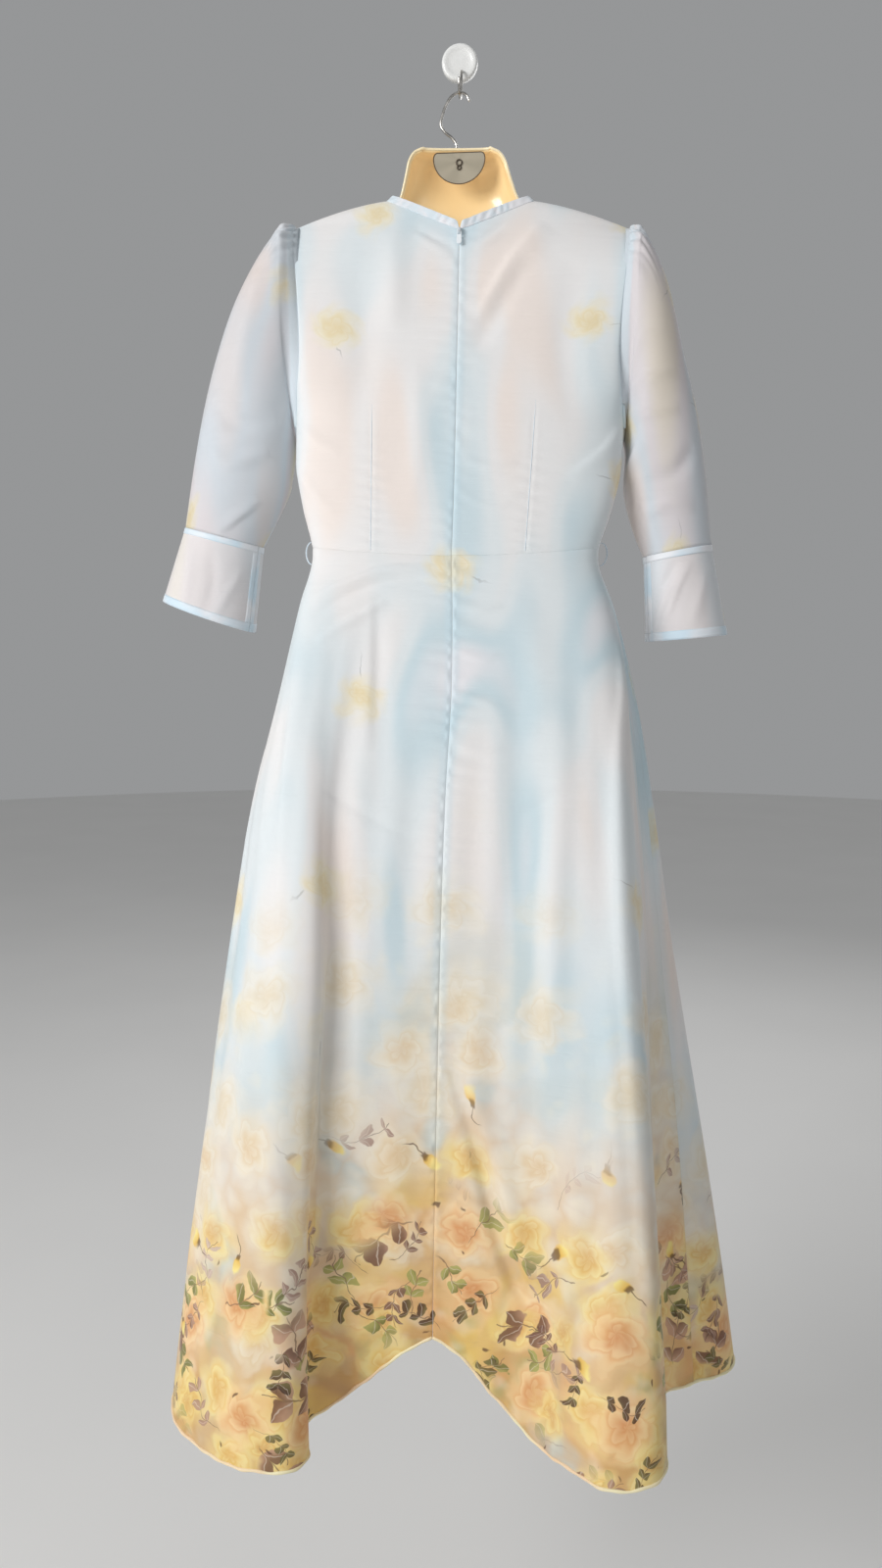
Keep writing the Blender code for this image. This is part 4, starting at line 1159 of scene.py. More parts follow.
@dataclass(frozen=True)
class Plastic(Finish):
    """Moulded plastic, with a faint ripple, a slow shift of tint and, where set, a painted glow.

    Attributes:
        first: one end of the tint.
        second: the other end.
        coat: how much clear gloss lies over it.
        painted_glow: how strongly it glows by emission, a painted glow that stands in for light coming through the
            shell from behind.
    """

    first: Tone = (236, 214, 158)
    second: Tone = (226, 198, 136)
    coat: float = 0.0
    painted_glow: float = 0.0

    def draw(self, nodes: Nodes, shader: bpy.types.Node) -> None:
        """Two tints mixed by slow noise, with a soft ripple in the surface, and any painted glow as emission."""
        place = nodes.add("TexCoord").outputs["Object"]
        share = nodes.noise(nodes.stretched(place, (1.0, 1.0, 0.4)), 14.0, 2.0, 0.5)
        nodes.put(shader.inputs["Base Color"], nodes.mix(share, colour(*self.first), colour(*self.second)))
        ripple = nodes.noise(nodes.stretched(place, (1.0, 1.0, 0.25)), 30.0, 2.0)
        fine = nodes.noise(place, 500.0, 2.0)
        normal = nodes.bump(ripple, 0.0015, 0.25, nodes.bump(fine, 0.00005, 0.3))
        nodes.put(shader.inputs["Normal"], normal)
        # Emission in the first tint: painted light that stands in for light coming through the shell.
        if self.painted_glow:
            nodes.put(shader.inputs["Emission Color"], colour(*self.first))
            shader.inputs["Emission Strength"].default_value = self.painted_glow
        shader.inputs["Coat Weight"].default_value = self.coat
        shader.inputs["Coat Roughness"].default_value = 0.06


@dataclass(frozen=True)
class Metal(Finish):
    """Brushed or plated metal, its marks drawn along a direction or round a middle; round a middle its tint also
    changes with the angle, as painted sheen.

    Attributes:
        tint: its colour.
        middle: where the marks and the painted sheen sectors run round, or None for marks along Z.
        metallic: 1 for bare metal.
    """

    tint: Tone = (214, 212, 208)
    middle: tuple[float, float, float] | None = None
    metallic: float = 1.0

    def draw(self, nodes: Nodes, shader: bpy.types.Node) -> None:
        """Fine marks in the roughness and the surface, and a shift of tint: at random along Z, or by angle round a
        middle as painted sheen.
        """
        place = nodes.add("TexCoord").outputs["Object"]
        if self.middle is None:
            marks = nodes.noise(nodes.stretched(place, (1.0, 1.0, 0.15)), 1200.0, 2.0)
            tone = nodes.noise(place, 120.0, 2.0)
        else:
            x, _, z = nodes.parts(nodes.vector("SUBTRACT", place, self.middle))
            angle = nodes.math("ARCTAN2", z, x)
            turn = nodes.add("CombineXYZ", {0: nodes.math("SINE", angle), 1: nodes.math("COSINE", angle)}).outputs[0]
            marks = nodes.noise(turn, 24.0, 3.0)
            # Tint by angle round the middle: painted sheen sectors, like those of radially brushed metal under a lamp.
            tone = nodes.noise(turn, 1.1, 0.5)
        light = colour(*self.tint)
        dark = colour(*[int(part * (0.78 if self.middle is None else 0.92)) for part in self.tint])
        nodes.put(shader.inputs["Base Color"], nodes.mix(nodes.step(tone, 0.3, 0.7), dark, light))
        rough = nodes.math("MULTIPLY_ADD", marks, 0.18, self.roughness)
        nodes.put(shader.inputs["Roughness"], rough)
        nodes.put(shader.inputs["Normal"], nodes.bump(marks, 0.00008, 0.3))
        shader.inputs["Metallic"].default_value = self.metallic


@dataclass(frozen=True)
class FloorPaint(Finish):
    """Plain pale floor."""

    name: str = "floor"
    roughness: float = 0.9

    def draw(self, nodes: Nodes, shader: bpy.types.Node) -> None:
        """One pale grey with a faint mottle."""
        place = nodes.add("TexCoord").outputs["Object"]
        share = nodes.noise(place, 2.0, 2.0)
        nodes.put(shader.inputs["Base Color"], nodes.mix(share, colour(232, 231, 229), colour(238, 237, 235)))


PRINTED = PrintedCloth()
SHEER_TINTS = ((240, 224, 214), (234, 226, 224), (222, 228, 234), (232, 226, 228), (240, 230, 216))
SHEER = PrintedCloth("sheer_cloth", "sheer_cloth", 0.66, 0.82, False, SHEER_TINTS, (222, 233, 240))
CUFF_TINTS = ((240, 232, 228), (236, 236, 236), (230, 234, 238), (236, 230, 230), (240, 234, 226))
CUFF = PrintedCloth("cuff_cloth", "sheer_cloth", 0.66, 0.90, False, CUFF_TINTS, (222, 233, 240))
SHEER_BAND = PlainCloth("sheer_band", "sheer_cloth", 0.6, (212, 231, 243), (238, 240, 244), 1.0, 22.0)
BINDING = PlainCloth("neck_cloth", "neck_cloth", 0.6, (218, 229, 236), (235, 234, 237), 1.0, 60.0)
HEM_EDGE = PlainCloth("hem_edge", "printed_cloth", 0.6, (246, 238, 196), (244, 214, 176), 1.0, 12.0)
THREAD = PlainCloth("thread", "thread", 0.7, (214, 228, 238), (224, 234, 242), 1.0, 400.0)
# The form's shell and its lip glow faintly by emission: a painted glow for light coming through the thin plastic.
FORM_PLASTIC = Plastic("cream_plastic", "cream_plastic", 0.20, (250, 219, 165), (244, 210, 151), 0.5, 0.16)
RIM_PLASTIC = Plastic("rim_plastic", "cream_plastic", 0.30, (255, 238, 200), (252, 232, 186), 0.3, 0.05)
DISC_PLASTIC = Plastic("white_plastic", "white_plastic", 0.32, (240, 240, 238), (232, 232, 230), 0.3)
# The plate's tint changes with the angle round its middle: painted radial sheen.
PLATE_METAL = Metal("grey_plate", "grey_plate", 0.42, (184, 174, 154), (0.003, 0.0, -0.128), 0.25)
HOOK_METAL = Metal("hook_metal", "hook_metal", 0.16, (216, 212, 206))
SLIDER_METAL = Metal("slider_metal", "slider_metal", 0.45, (230, 238, 243), None, 0.05)
PLATE_LINE = Metal("plate_line", "grey_plate", 0.5, (92, 74, 56), None, 0.2)
EYE_WIRE = Metal("eye_wire", "hook_metal", 0.35, (104, 92, 80), None, 0.7)
TAB_PAINT = Plastic("tab_paint", "tab_paint", 0.28, (250, 253, 255), (240, 247, 252), 0.4)


def dress(made: bpy.types.Object, finish: Finish, *nodes: str, moves_with: str = "dress") -> bpy.types.Object:
    """Puts a piece on its body, hides the solids that it replaces and logs it.

    Args:
        made: the piece.
        finish: not used.
        nodes: the solids that it replaces.
        moves_with: the body that it rides on.

    Returns:
        The same piece.
    """
    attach(made, moves_with)
    if nodes:
        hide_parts(*nodes)
    log.info("built %s, %d faces", made.name, len(made.data.polygons))
    return made


def body_inside(points: Array) -> Array:
    """A point inside the body for each row of a grid."""
    z = points[:, :, 2].mean(axis=1)
    return np.stack([body("middle_x", z), (body("back_y", z) + body("front_y", z)) / 2, z], axis=-1)[:, None]


# ---- The dress


def turning_tint(points: Array, width: float = 0.0085) -> Array:
    """How much the turnings show through beside a panel's first and last line, fading from 0.32 over a width."""
    run = run_of(points, axis=1)
    from_first = np.exp(-((run / width) ** 4))
    from_last = np.exp(-(((run[:, -1:] - run) / width) ** 4))
    return 0.32 * np.maximum(from_first, 0.8 * from_last)[..., None]


@dataclass
class Bodice:
    """The two backs, which meet at the zip, and the front.

    Attributes:
        cloth: the shown thickness.
        seam: the shown gap at each seam's side.
        turn_in: how far a panel's edge turns in at a seam.
        groove: the measure of a seam's sinking, and groove_width of its width.
        dart_depth: how deep a dart's line sinks.
        pucker: how high the puckers by the zip are, and pucker_reach how far out they go.
        facing: how strongly the neck's facing tints the backs.
        facing_drop: how far down it reaches, and facing_reach how far out.
    """

    cloth: float = 0.0008
    seam: float = 0.0002
    turn_in: float = 0.0035
    groove: float = 0.0004
    groove_width: float = 0.0024
    dart_depth: float = 0.0009
    pucker: float = 0.0011
    pucker_reach: float = 0.018
    facing: float = 0.55
    facing_drop: float = 0.030
    facing_reach: float = 0.060

    def surface(self, side: int, is_front: bool, shares: Array, heights: Array) -> Array:
        """The panel's middle surface: a rounded oblong ring at each height, drawn in over the shoulder.

        Args:
            side: -1 for the left, 1 for the right.
            is_front: whether it is the front.
            shares: columns, from the middle (0) to the side (1).
            heights: rows, from the waist (0) to the top edge (1).

        Returns:
            A grid of points (rows, columns, 3).
        """
        across, deep = quarter(shares, FRONT_SQUARENESS if is_front else BACK_SQUARENESS)
        base = waist_line(across * body("half_width", WAIST_Z)) + self.seam
        z = base + (top_edge(across * SHOULDER_OUT, is_front) - base) * heights[:, None]
        width = body("half_width", z)
        out = across * (width + (SHOULDER_OUT - width) * armhole_share(z) ** 2)
        middle_y = body("front_y" if is_front else "back_y", z)
        rise = armhole_share(z)
        gap = ARMHOLE_HALF_DEPTH * np.sqrt(4 * rise * (1 - rise))
        eased = gap * soft_step(rise, 0.0, 0.24)
        opened = gap * deep**5 + eased * (deep - deep**5) + self.seam * deep
        y = middle_y + (body("side_y", z) - middle_y) * deep + opened * (1 if is_front else -1)
        if is_front:
            y = y + bust(out, z) * (1 - deep)
        near = np.clip(1 - (shoulder_line(out) - z) / SHOULDER_ROLL, 0, 1)
        over = 1 - np.sqrt(1 - near**2)
        seam_y = SHOULDER_SEAM_Y + (self.seam if is_front else -self.seam)
        y = y + (seam_y - y) * over
        return slanted(np.stack([body("middle_x", z) + side * out, y, z], axis=-1))

    def columns(self, is_front: bool, counts: tuple[int, int]) -> tuple[Array, int]:
        """Column places with one exactly at the neck's corner, and how many lie on the neck."""
        shares = np.linspace(0, 1, 801)
        across, _ = quarter(shares, FRONT_SQUARENESS if is_front else BACK_SQUARENESS)
        corner = float(np.interp(NECK_EDGE_OUT / SHOULDER_OUT, across, shares))
        turn = np.sin(np.linspace(0, np.pi / 2, counts[0])) if is_front else np.linspace(0, 1, counts[0])
        return np.concatenate([corner * turn, np.linspace(corner, 1, counts[1])[1:]]), counts[0]

    def rows(self, straight: int, rolled: int) -> Array:
        """Row places from the waist to the top edge, closer where the cloth rolls over the shoulder."""
        roll = SHOULDER_ROLL / (SHOULDER_Z - WAIST_Z)
        turn = 1 - np.sin(np.linspace(0, np.pi / 2, rolled))
        return np.concatenate([np.linspace(0, 1 - roll, straight)[:-1], 1 - roll * turn])

    def build(self) -> dict[str, Array]:
        """Makes the three panels.

        Returns:
            The neck edges of the panels, for the binding.
        """
        heights = self.rows(130, 26)
        edges = {}
        shares, count = self.columns(False, (36, 44))
        for side in Side:
            points = self.surface(side.sign, False, shares, heights)
            name = f"bodice_back_{side.value}"
            points = self._relief(points, shares, name, side)
            points[..., 0] += side.sign * 2 * self.seam * np.exp(-run_of(points, axis=1) / 0.003)
            flat = np.stack([run_of(points, axis=1) * side.sign, 0.01 + run_of(points, axis=0)], axis=-1)
            made = self._panel(name, points, flat)
            dress(made, PRINTED, name)
            edges[side.value] = points[-1, :count]
            self._dart_line(points, side)
        shares, count = self.columns(True, (30, 34))
        heights = self.rows(96, 22)
        left = self.surface(-1, True, shares[::-1], heights)
        right = self.surface(1, True, shares[1:], heights)
        points = np.concatenate([left, right], axis=1)
        both = np.linspace(0, 1, points.shape[1])
        points = self._relief(points, both, "bodice_front", None)
        run = run_of(points, axis=1)
        flat = np.stack([run - run[:, -1:] / 2 + 2.0, 0.01 + run_of(points, axis=0)], axis=-1)
        made = self._panel("bodice_front", points, flat)
        dress(made, PRINTED, "bodice_front")
        middle = len(shares) - 1
        edges["front"] = points[-1, middle - count + 1 : middle + count]
        return edges

    def _dart_line(self, points: Array, side: Side) -> None:
        """The dart's pressed edge: a hair-thin round line that lies on the cloth where the dart is sewn."""
        top, bottom = DARTS[side]
        across, heights = points[:, :, 0], points[:, :, 2]
        off = side.sign * (across - np.interp(heights, (bottom[1], top[1]), (bottom[0], top[0])))
        order = np.arange(points.shape[1])
        column = np.array([np.interp(0.0, row, order) for row in off])
        left = np.clip(column.astype(int), 0, len(order) - 2)
        mix, rows = (column - left)[:, None], np.arange(len(column))
        line = points[rows, left] * (1 - mix) + points[rows, left + 1] * mix
        line = line[(line[:, 2] > bottom[1] - 0.002) & (line[:, 2] < top[1])]
        line = line - np.array([0.0, self.cloth * 0.62, 0.0])
        radius = 0.00042 * np.clip((top[1] + 0.004 - line[:, 2]) / 0.03, 0.3, 1)
        dress(tube(f"dart_{side.value}_edge", line, radius, THREAD, 6), THREAD)

    def _panel(self, name: str, points: Array, flat: Array) -> bpy.types.Object:
        """The panel's cloth, turned in at the waist, the zip and the side seam."""
        normals = normals_of(points, body_inside(points))
        shape = turned_in(points, normals, self.turn_in)
        tint = turning_tint(points)
        if name != "bodice_front":
            below, from_zip = run_of(points[::-1], axis=0)[::-1], run_of(points, axis=1)
            shown = np.exp(-((below / self.facing_drop) ** 2) - (from_zip / self.facing_reach) ** 2)
            tint = np.maximum(tint, self.facing * shown[..., None])
        flat, tint = (turned_in(grid, 0 * grid, 0.0) for grid in (flat, tint))
        return cloth_sheet(name + "_cloth", shape, body_inside(shape), self.cloth, PRINTED, flat=flat, tint=tint)

    def _relief(self, points: Array, shares: Array, name: str, side: Side | None) -> Array:
        """The panel with its creases, seam grooves, darts and puckers pressed in along its normals."""
        normals = normals_of(points, body_inside(points))
        lift = creased(points, shares, normals, BODICE_CREASES[name])
        up = run_of(points, axis=0)
        lift -= 1.7 * self.groove * np.exp(-((up / self.groove_width) ** 2))
        if side is not None:
            from_zip = run_of(points, axis=1)
            z = points[:, :, 2]
            lift += zip_relief(from_zip, z, side, self.pucker, self.pucker_reach)
            top, bottom = DARTS[side]
            off = points[:, :, 0] - np.interp(z, (bottom[1], top[1]), (bottom[0], top[0]))
            taper = soft_step(z, top[1] + 0.006, top[1] - 0.03)
            lift -= 0.6 * self.dart_depth * np.exp(-((off / 0.0018) ** 2)) * taper
            lift += 0.4 * self.dart_depth * np.exp(-(((off - 0.0042) / 0.0026) ** 2)) * taper
            waves = np.sin(2 * np.pi * z / 0.0135 + 1.8 * np.sin(z * 57 + side.sign) + off * 70)
            reach = np.exp(-((off / 0.013) ** 2)) * soft_step(z, top[1] - 0.02, top[1] - 0.10)
            lift += 0.8 * self.pucker * waves * reach
        sides = soft_step(shares, 0.03, 0.0) if side is None else 0 * shares
        edge = np.maximum(sides, soft_step(shares, 0.97, 1.0))
        return points + normals * (lift * (1 - edge[None, :]))[..., None]


DARTS = {
    Side.LEFT: ((-0.0913, -0.4105), (-0.0876, -0.5776)),
    Side.RIGHT: ((0.0953, -0.4102), (0.0854, -0.5820)),
}


def zip_relief(from_zip: Array, z: Array, side: Side, pucker: float, reach: float) -> Array:
    """A groove on the centre line, a lap on its right, and small level puckers that fade away from it.

    Args:
        from_zip: distance from the centre line.
        z: height.
        side: which back it is.
        pucker: how high the puckers are.
        reach: how far they reach.

    Returns:
        The lift at each point.
    """
    lift = -0.0005 * np.exp(-((from_zip / 0.0014) ** 2))
    if side is Side.RIGHT:
        lift += 0.0003 * np.exp(-(((from_zip - 0.0045) / 0.0032) ** 2))
    shift = 2.1 * np.sin(z * 37.0 + 1.3 * side.sign) + 1.2 * np.sin(z * 91.0)
    waves = np.sin(2 * np.pi * z / 0.0165 + shift + from_zip * 55.0 * side.sign)
    uneven = 0.55 + 0.45 * np.sin(z * 23.0 + 2.0 * side.sign) * np.sin(z * 61.0 + 0.7)
    return lift + pucker * uneven * waves * np.exp(-((from_zip / reach) ** 1.5)) * soft_step(from_zip, 0.001, 0.005)


BODICE_CREASES: dict[str, tuple[Crease, ...]] = {
    "bodice_back_left": (
        Crease(((0.35, -0.205), (0.34, -0.25), (0.35, -0.33)), 0.0032, 0.016),
        Crease(((0.25, -0.205), (0.12, -0.221), (0.015, -0.231)), -0.0013, 0.0038, 0.3),
        Crease(((0.23, -0.213), (0.12, -0.230), (0.02, -0.242)), 0.0010, 0.0040),
        Crease(((0.55, -0.24), (0.50, -0.34), (0.53, -0.45)), -0.0030, 0.020),
        Crease(((0.93, -0.42), (0.76, -0.450), (0.60, -0.468)), 0.0018, 0.0075, 0.3),
        Crease(((0.97, -0.47), (0.80, -0.505), (0.66, -0.540)), 0.0014, 0.0070),
        Crease(((0.22, -0.36), (0.19, -0.45), (0.21, -0.54)), 0.0018, 0.014),
    ),
    "bodice_back_right": (
        Crease(((0.44, -0.205), (0.28, -0.250), (0.11, -0.318)), 0.0042, 0.014, 0.4),
        Crease(((0.38, -0.240), (0.25, -0.290), (0.09, -0.355)), -0.0036, 0.013),
        Crease(((0.03, -0.224), (0.13, -0.219), (0.24, -0.204)), -0.0013, 0.0038, 0.3),
        Crease(((0.03, -0.235), (0.12, -0.230), (0.22, -0.215)), 0.0010, 0.0040),
        Crease(((0.93, -0.43), (0.78, -0.465), (0.60, -0.500)), 0.0020, 0.0080, 0.4),
        Crease(((0.62, -0.25), (0.58, -0.34), (0.62, -0.44)), -0.0028, 0.020),
        Crease(((0.02, -0.470), (0.16, -0.486), (0.33, -0.482)), 0.0012, 0.0048),
        Crease(((0.02, -0.515), (0.18, -0.530), (0.36, -0.522)), 0.0011, 0.0045),
    ),
    "bodice_front": (
        Crease(((0.30, -0.40), (0.28, -0.48), (0.31, -0.56)), 0.0028, 0.013),
        Crease(((0.70, -0.40), (0.73, -0.49), (0.70, -0.56)), 0.0026, 0.014),
        Crease(((0.42, -0.32), (0.50, -0.345), (0.59, -0.325)), -0.0022, 0.011),
        Crease(((0.08, -0.43), (0.18, -0.415), (0.27, -0.405)), 0.0020, 0.008),
        Crease(((0.93, -0.44), (0.83, -0.420), (0.74, -0.408)), 0.0018, 0.008),
        Crease(((0.50, -0.42), (0.49, -0.50), (0.51, -0.57)), -0.0016, 0.013),
    ),
}
SKIRT_CREASES: dict[str, tuple[Crease, ...]] = {
    "skirt_back_left": (
        Crease(((0.06, -0.597), (0.27, -0.602), (0.43, -0.616), (0.60, -0.633)), 0.0030, 0.0050, 0.5),
        Crease(((0.08, -0.612), (0.27, -0.618), (0.42, -0.633), (0.56, -0.655)), -0.0026, 0.0056),
        Crease(((0.22, -0.636), (0.36, -0.657), (0.52, -0.680)), 0.0028, 0.0054, 0.5),
        Crease(((0.255, -0.625), (0.235, -0.688), (0.225, -0.730), (0.205, -0.800)), -0.0030, 0.0140, 0.6),
        Crease(((0.205, -0.640), (0.190, -0.700), (0.185, -0.760)), 0.0014, 0.0100),
        Crease(((0.42, -0.834), (0.33, -0.846), (0.21, -0.868), (0.08, -0.890)), -0.0013, 0.0055, 0.4),
        Crease(((0.64, -0.61), (0.578, -0.73), (0.53, -0.824), (0.512, -0.934), (0.50, -1.16)), 0.0060, 0.0200, 0.4),
        Crease(((0.50, -0.74), (0.455, -0.85), (0.435, -1.00), (0.42, -1.15), (0.40, -1.30)), 0.0065, 0.0200),
        Crease(((0.37, -0.80), (0.357, -0.965), (0.352, -1.076), (0.323, -1.242), (0.34, -1.40)), 0.0078, 0.0270, 0.5),
        Crease(((0.29, -0.76), (0.295, -0.85), (0.275, -0.977), (0.25, -1.12), (0.22, -1.26)), -0.0020, 0.0160),
        Crease(((0.15, -0.84), (0.16, -1.00), (0.14, -1.17), (0.11, -1.30)), 0.0012, 0.0170),
        Crease(((0.78, -0.90), (0.77, -1.10), (0.79, -1.32)), -0.0036, 0.0190),
        Crease(((0.90, -0.80), (0.89, -1.02), (0.91, -1.24)), 0.0045, 0.0160),
    ),
    "skirt_back_right": (
        Crease(
            ((0.25, -0.63), (0.30, -0.73), (0.33, -0.85), (0.318, -0.95), (0.30, -1.10), (0.28, -1.26)), 0.0046, 0.0190
        ),
        Crease(((0.20, -0.70), (0.22, -0.85), (0.20, -1.00), (0.17, -1.12)), -0.0030, 0.0190),
        Crease(((0.43, -0.72), (0.44, -0.88), (0.43, -1.02), (0.41, -1.22)), -0.0036, 0.0190),
        Crease(
            ((0.84, -0.63), (0.68, -0.71), (0.57, -0.80), (0.545, -0.90), (0.555, -1.08), (0.57, -1.25), (0.61, -1.47)),
            0.0052,
            0.0125,
            0.4,
        ),
        Crease(((0.80, -0.70), (0.68, -0.82), (0.66, -0.98), (0.67, -1.20), (0.70, -1.44)), -0.0072, 0.0200),
        Crease(((0.555, -1.040), (0.66, -1.066), (0.76, -1.082)), 0.0018, 0.0045, 0.5),
        Crease(((0.06, -1.056), (0.225, -1.080), (0.44, -1.108)), 0.0015, 0.0045, 0.5),
        Crease(((0.30, -1.074), (0.43, -1.082), (0.56, -1.094)), 0.0012, 0.0040),
        Crease(((0.03, -1.12), (0.10, -1.21), (0.22, -1.342), (0.38, -1.412)), -0.0072, 0.0130, 0.5),
        Crease(((0.06, -1.11), (0.15, -1.21), (0.27, -1.330), (0.45, -1.412)), 0.0060, 0.0100, 0.3),
        Crease(((0.20, -0.868), (0.30, -0.848), (0.44, -0.838)), -0.0008, 0.0060, 0.4),
        Crease(((0.01, -0.640), (0.08, -0.646), (0.17, -0.640)), 0.0014, 0.0045),
        Crease(((0.01, -0.690), (0.09, -0.700), (0.15, -0.694)), 0.0012, 0.0045),
        Crease(((0.01, -0.738), (0.07, -0.743), (0.14, -0.752)), 0.0014, 0.0045),
        Crease(((0.01, -0.790), (0.09, -0.798), (0.16, -0.792)), 0.0011, 0.0045),
        Crease(((0.88, -0.86), (0.86, -1.05), (0.89, -1.26)), 0.0040, 0.0150),
    ),
    "skirt_front": (
        Crease(((0.09, -0.68), (0.10, -0.92), (0.09, -1.20), (0.10, -1.40)), -0.0060, 0.0170),
        Crease(((0.17, -0.64), (0.18, -0.85), (0.19, -1.05)), 0.0050, 0.0150, 0.3),
        Crease(((0.27, -0.62), (0.27, -0.80), (0.29, -1.02), (0.30, -1.30)), -0.0048, 0.0170),
        Crease(((0.38, -0.66), (0.38, -0.90), (0.40, -1.18)), 0.0044, 0.0160),
        Crease(((0.47, -0.72), (0.48, -0.95), (0.47, -1.25), (0.48, -1.40)), -0.0040, 0.0150),
        Crease(((0.56, -0.63), (0.57, -0.82), (0.56, -1.08)), 0.0046, 0.0150, -0.3),
        Crease(((0.65, -0.66), (0.66, -0.94), (0.65, -1.24)), -0.0050, 0.0170),
        Crease(((0.76, -0.62), (0.75, -0.84), (0.76, -1.12)), 0.0052, 0.0150),
        Crease(((0.86, -0.68), (0.87, -0.95), (0.86, -1.30)), -0.0058, 0.0170),
        Crease(((0.30, -0.600), (0.42, -0.612), (0.55, -0.602)), 0.0018, 0.0060),
        Crease(((0.94, -0.66), (0.93, -0.90), (0.94, -1.16)), 0.0042, 0.0140),
    ),
}
SLEEVE_CREASES: dict[str, tuple[Crease, ...]] = {
    "sleeve_left": (
        Crease(((0.25, -0.556), (0.31, -0.538), (0.37, -0.516)), 0.0026, 0.0060, 0.4),
        Crease(((0.12, -0.40), (0.22, -0.430), (0.34, -0.428)), -0.0030, 0.0095),
        Crease(((0.14, -0.455), (0.24, -0.475), (0.35, -0.462)), 0.0026, 0.0085),
        Crease(((0.10, -0.25), (0.17, -0.33), (0.20, -0.40)), 0.0026, 0.0120),
        Crease(((0.28, -0.30), (0.33, -0.37), (0.38, -0.44)), 0.0024, 0.0090),
        Crease(((0.62, -0.40), (0.72, -0.430), (0.84, -0.41)), -0.0030, 0.0100),
        Crease(((0.64, -0.46), (0.74, -0.480), (0.86, -0.47)), 0.0028, 0.0090),
        Crease(((0.80, -0.28), (0.76, -0.36), (0.70, -0.44)), 0.0026, 0.0110),
    ),
    "sleeve_right": (
        Crease(((0.33, -0.455), (0.40, -0.480), (0.47, -0.505)), 0.0034, 0.0070, 0.4),
        Crease(((0.14, -0.330), (0.25, -0.345), (0.36, -0.325)), 0.0018, 0.0050, 0.4),
        Crease(((0.13, -0.375), (0.24, -0.385), (0.36, -0.360)), 0.0020, 0.0055, 0.4),
        Crease(((0.16, -0.420), (0.28, -0.425), (0.40, -0.400)), 0.0024, 0.0065),
        Crease(((0.12, -0.460), (0.22, -0.490), (0.34, -0.500)), -0.0034, 0.0100),
        Crease(((0.16, -0.530), (0.27, -0.525), (0.38, -0.540)), 0.0024, 0.0075),
        Crease(((0.62, -0.40), (0.72, -0.425), (0.84, -0.41)), -0.0030, 0.0100),
        Crease(((0.64, -0.48), (0.74, -0.500), (0.86, -0.49)), 0.0028, 0.0090),
        Crease(((0.80, -0.28), (0.76, -0.36), (0.70, -0.44)), 0.0026, 0.0110),
    ),
    "cuff_left": (
        Crease(((0.69, -0.565), (0.735, -0.605), (0.745, -0.645)), 0.0018, 0.0085),
        Crease(((0.80, -0.575), (0.83, -0.615), (0.82, -0.655)), -0.0016, 0.0070),
        Crease(((0.94, -0.595), (0.89, -0.625), (0.85, -0.660)), 0.0013, 0.0060),
        Crease(((0.18, -0.585), (0.22, -0.610), (0.24, -0.650)), 0.0018, 0.0085),
        Crease(((0.36, -0.575), (0.34, -0.610), (0.36, -0.645)), -0.0016, 0.0080),
    ),
    "cuff_right": (
        Crease(((0.970, -0.675), (0.915, -0.645), (0.860, -0.615)), 0.0026, 0.0052, 0.3),
        Crease(((0.900, -0.660), (0.840, -0.622), (0.770, -0.590)), 0.0021, 0.0055, 0.3),
        Crease(((0.945, -0.640), (0.885, -0.612), (0.825, -0.590)), -0.0018, 0.0050),
        Crease(((0.800, -0.665), (0.750, -0.632), (0.695, -0.600)), 0.0015, 0.0070),
        Crease(((0.20, -0.600), (0.25, -0.625), (0.27, -0.660)), 0.0018, 0.0080),
        Crease(((0.38, -0.590), (0.35, -0.625), (0.37, -0.660)), -0.0017, 0.0080),
    ),
}


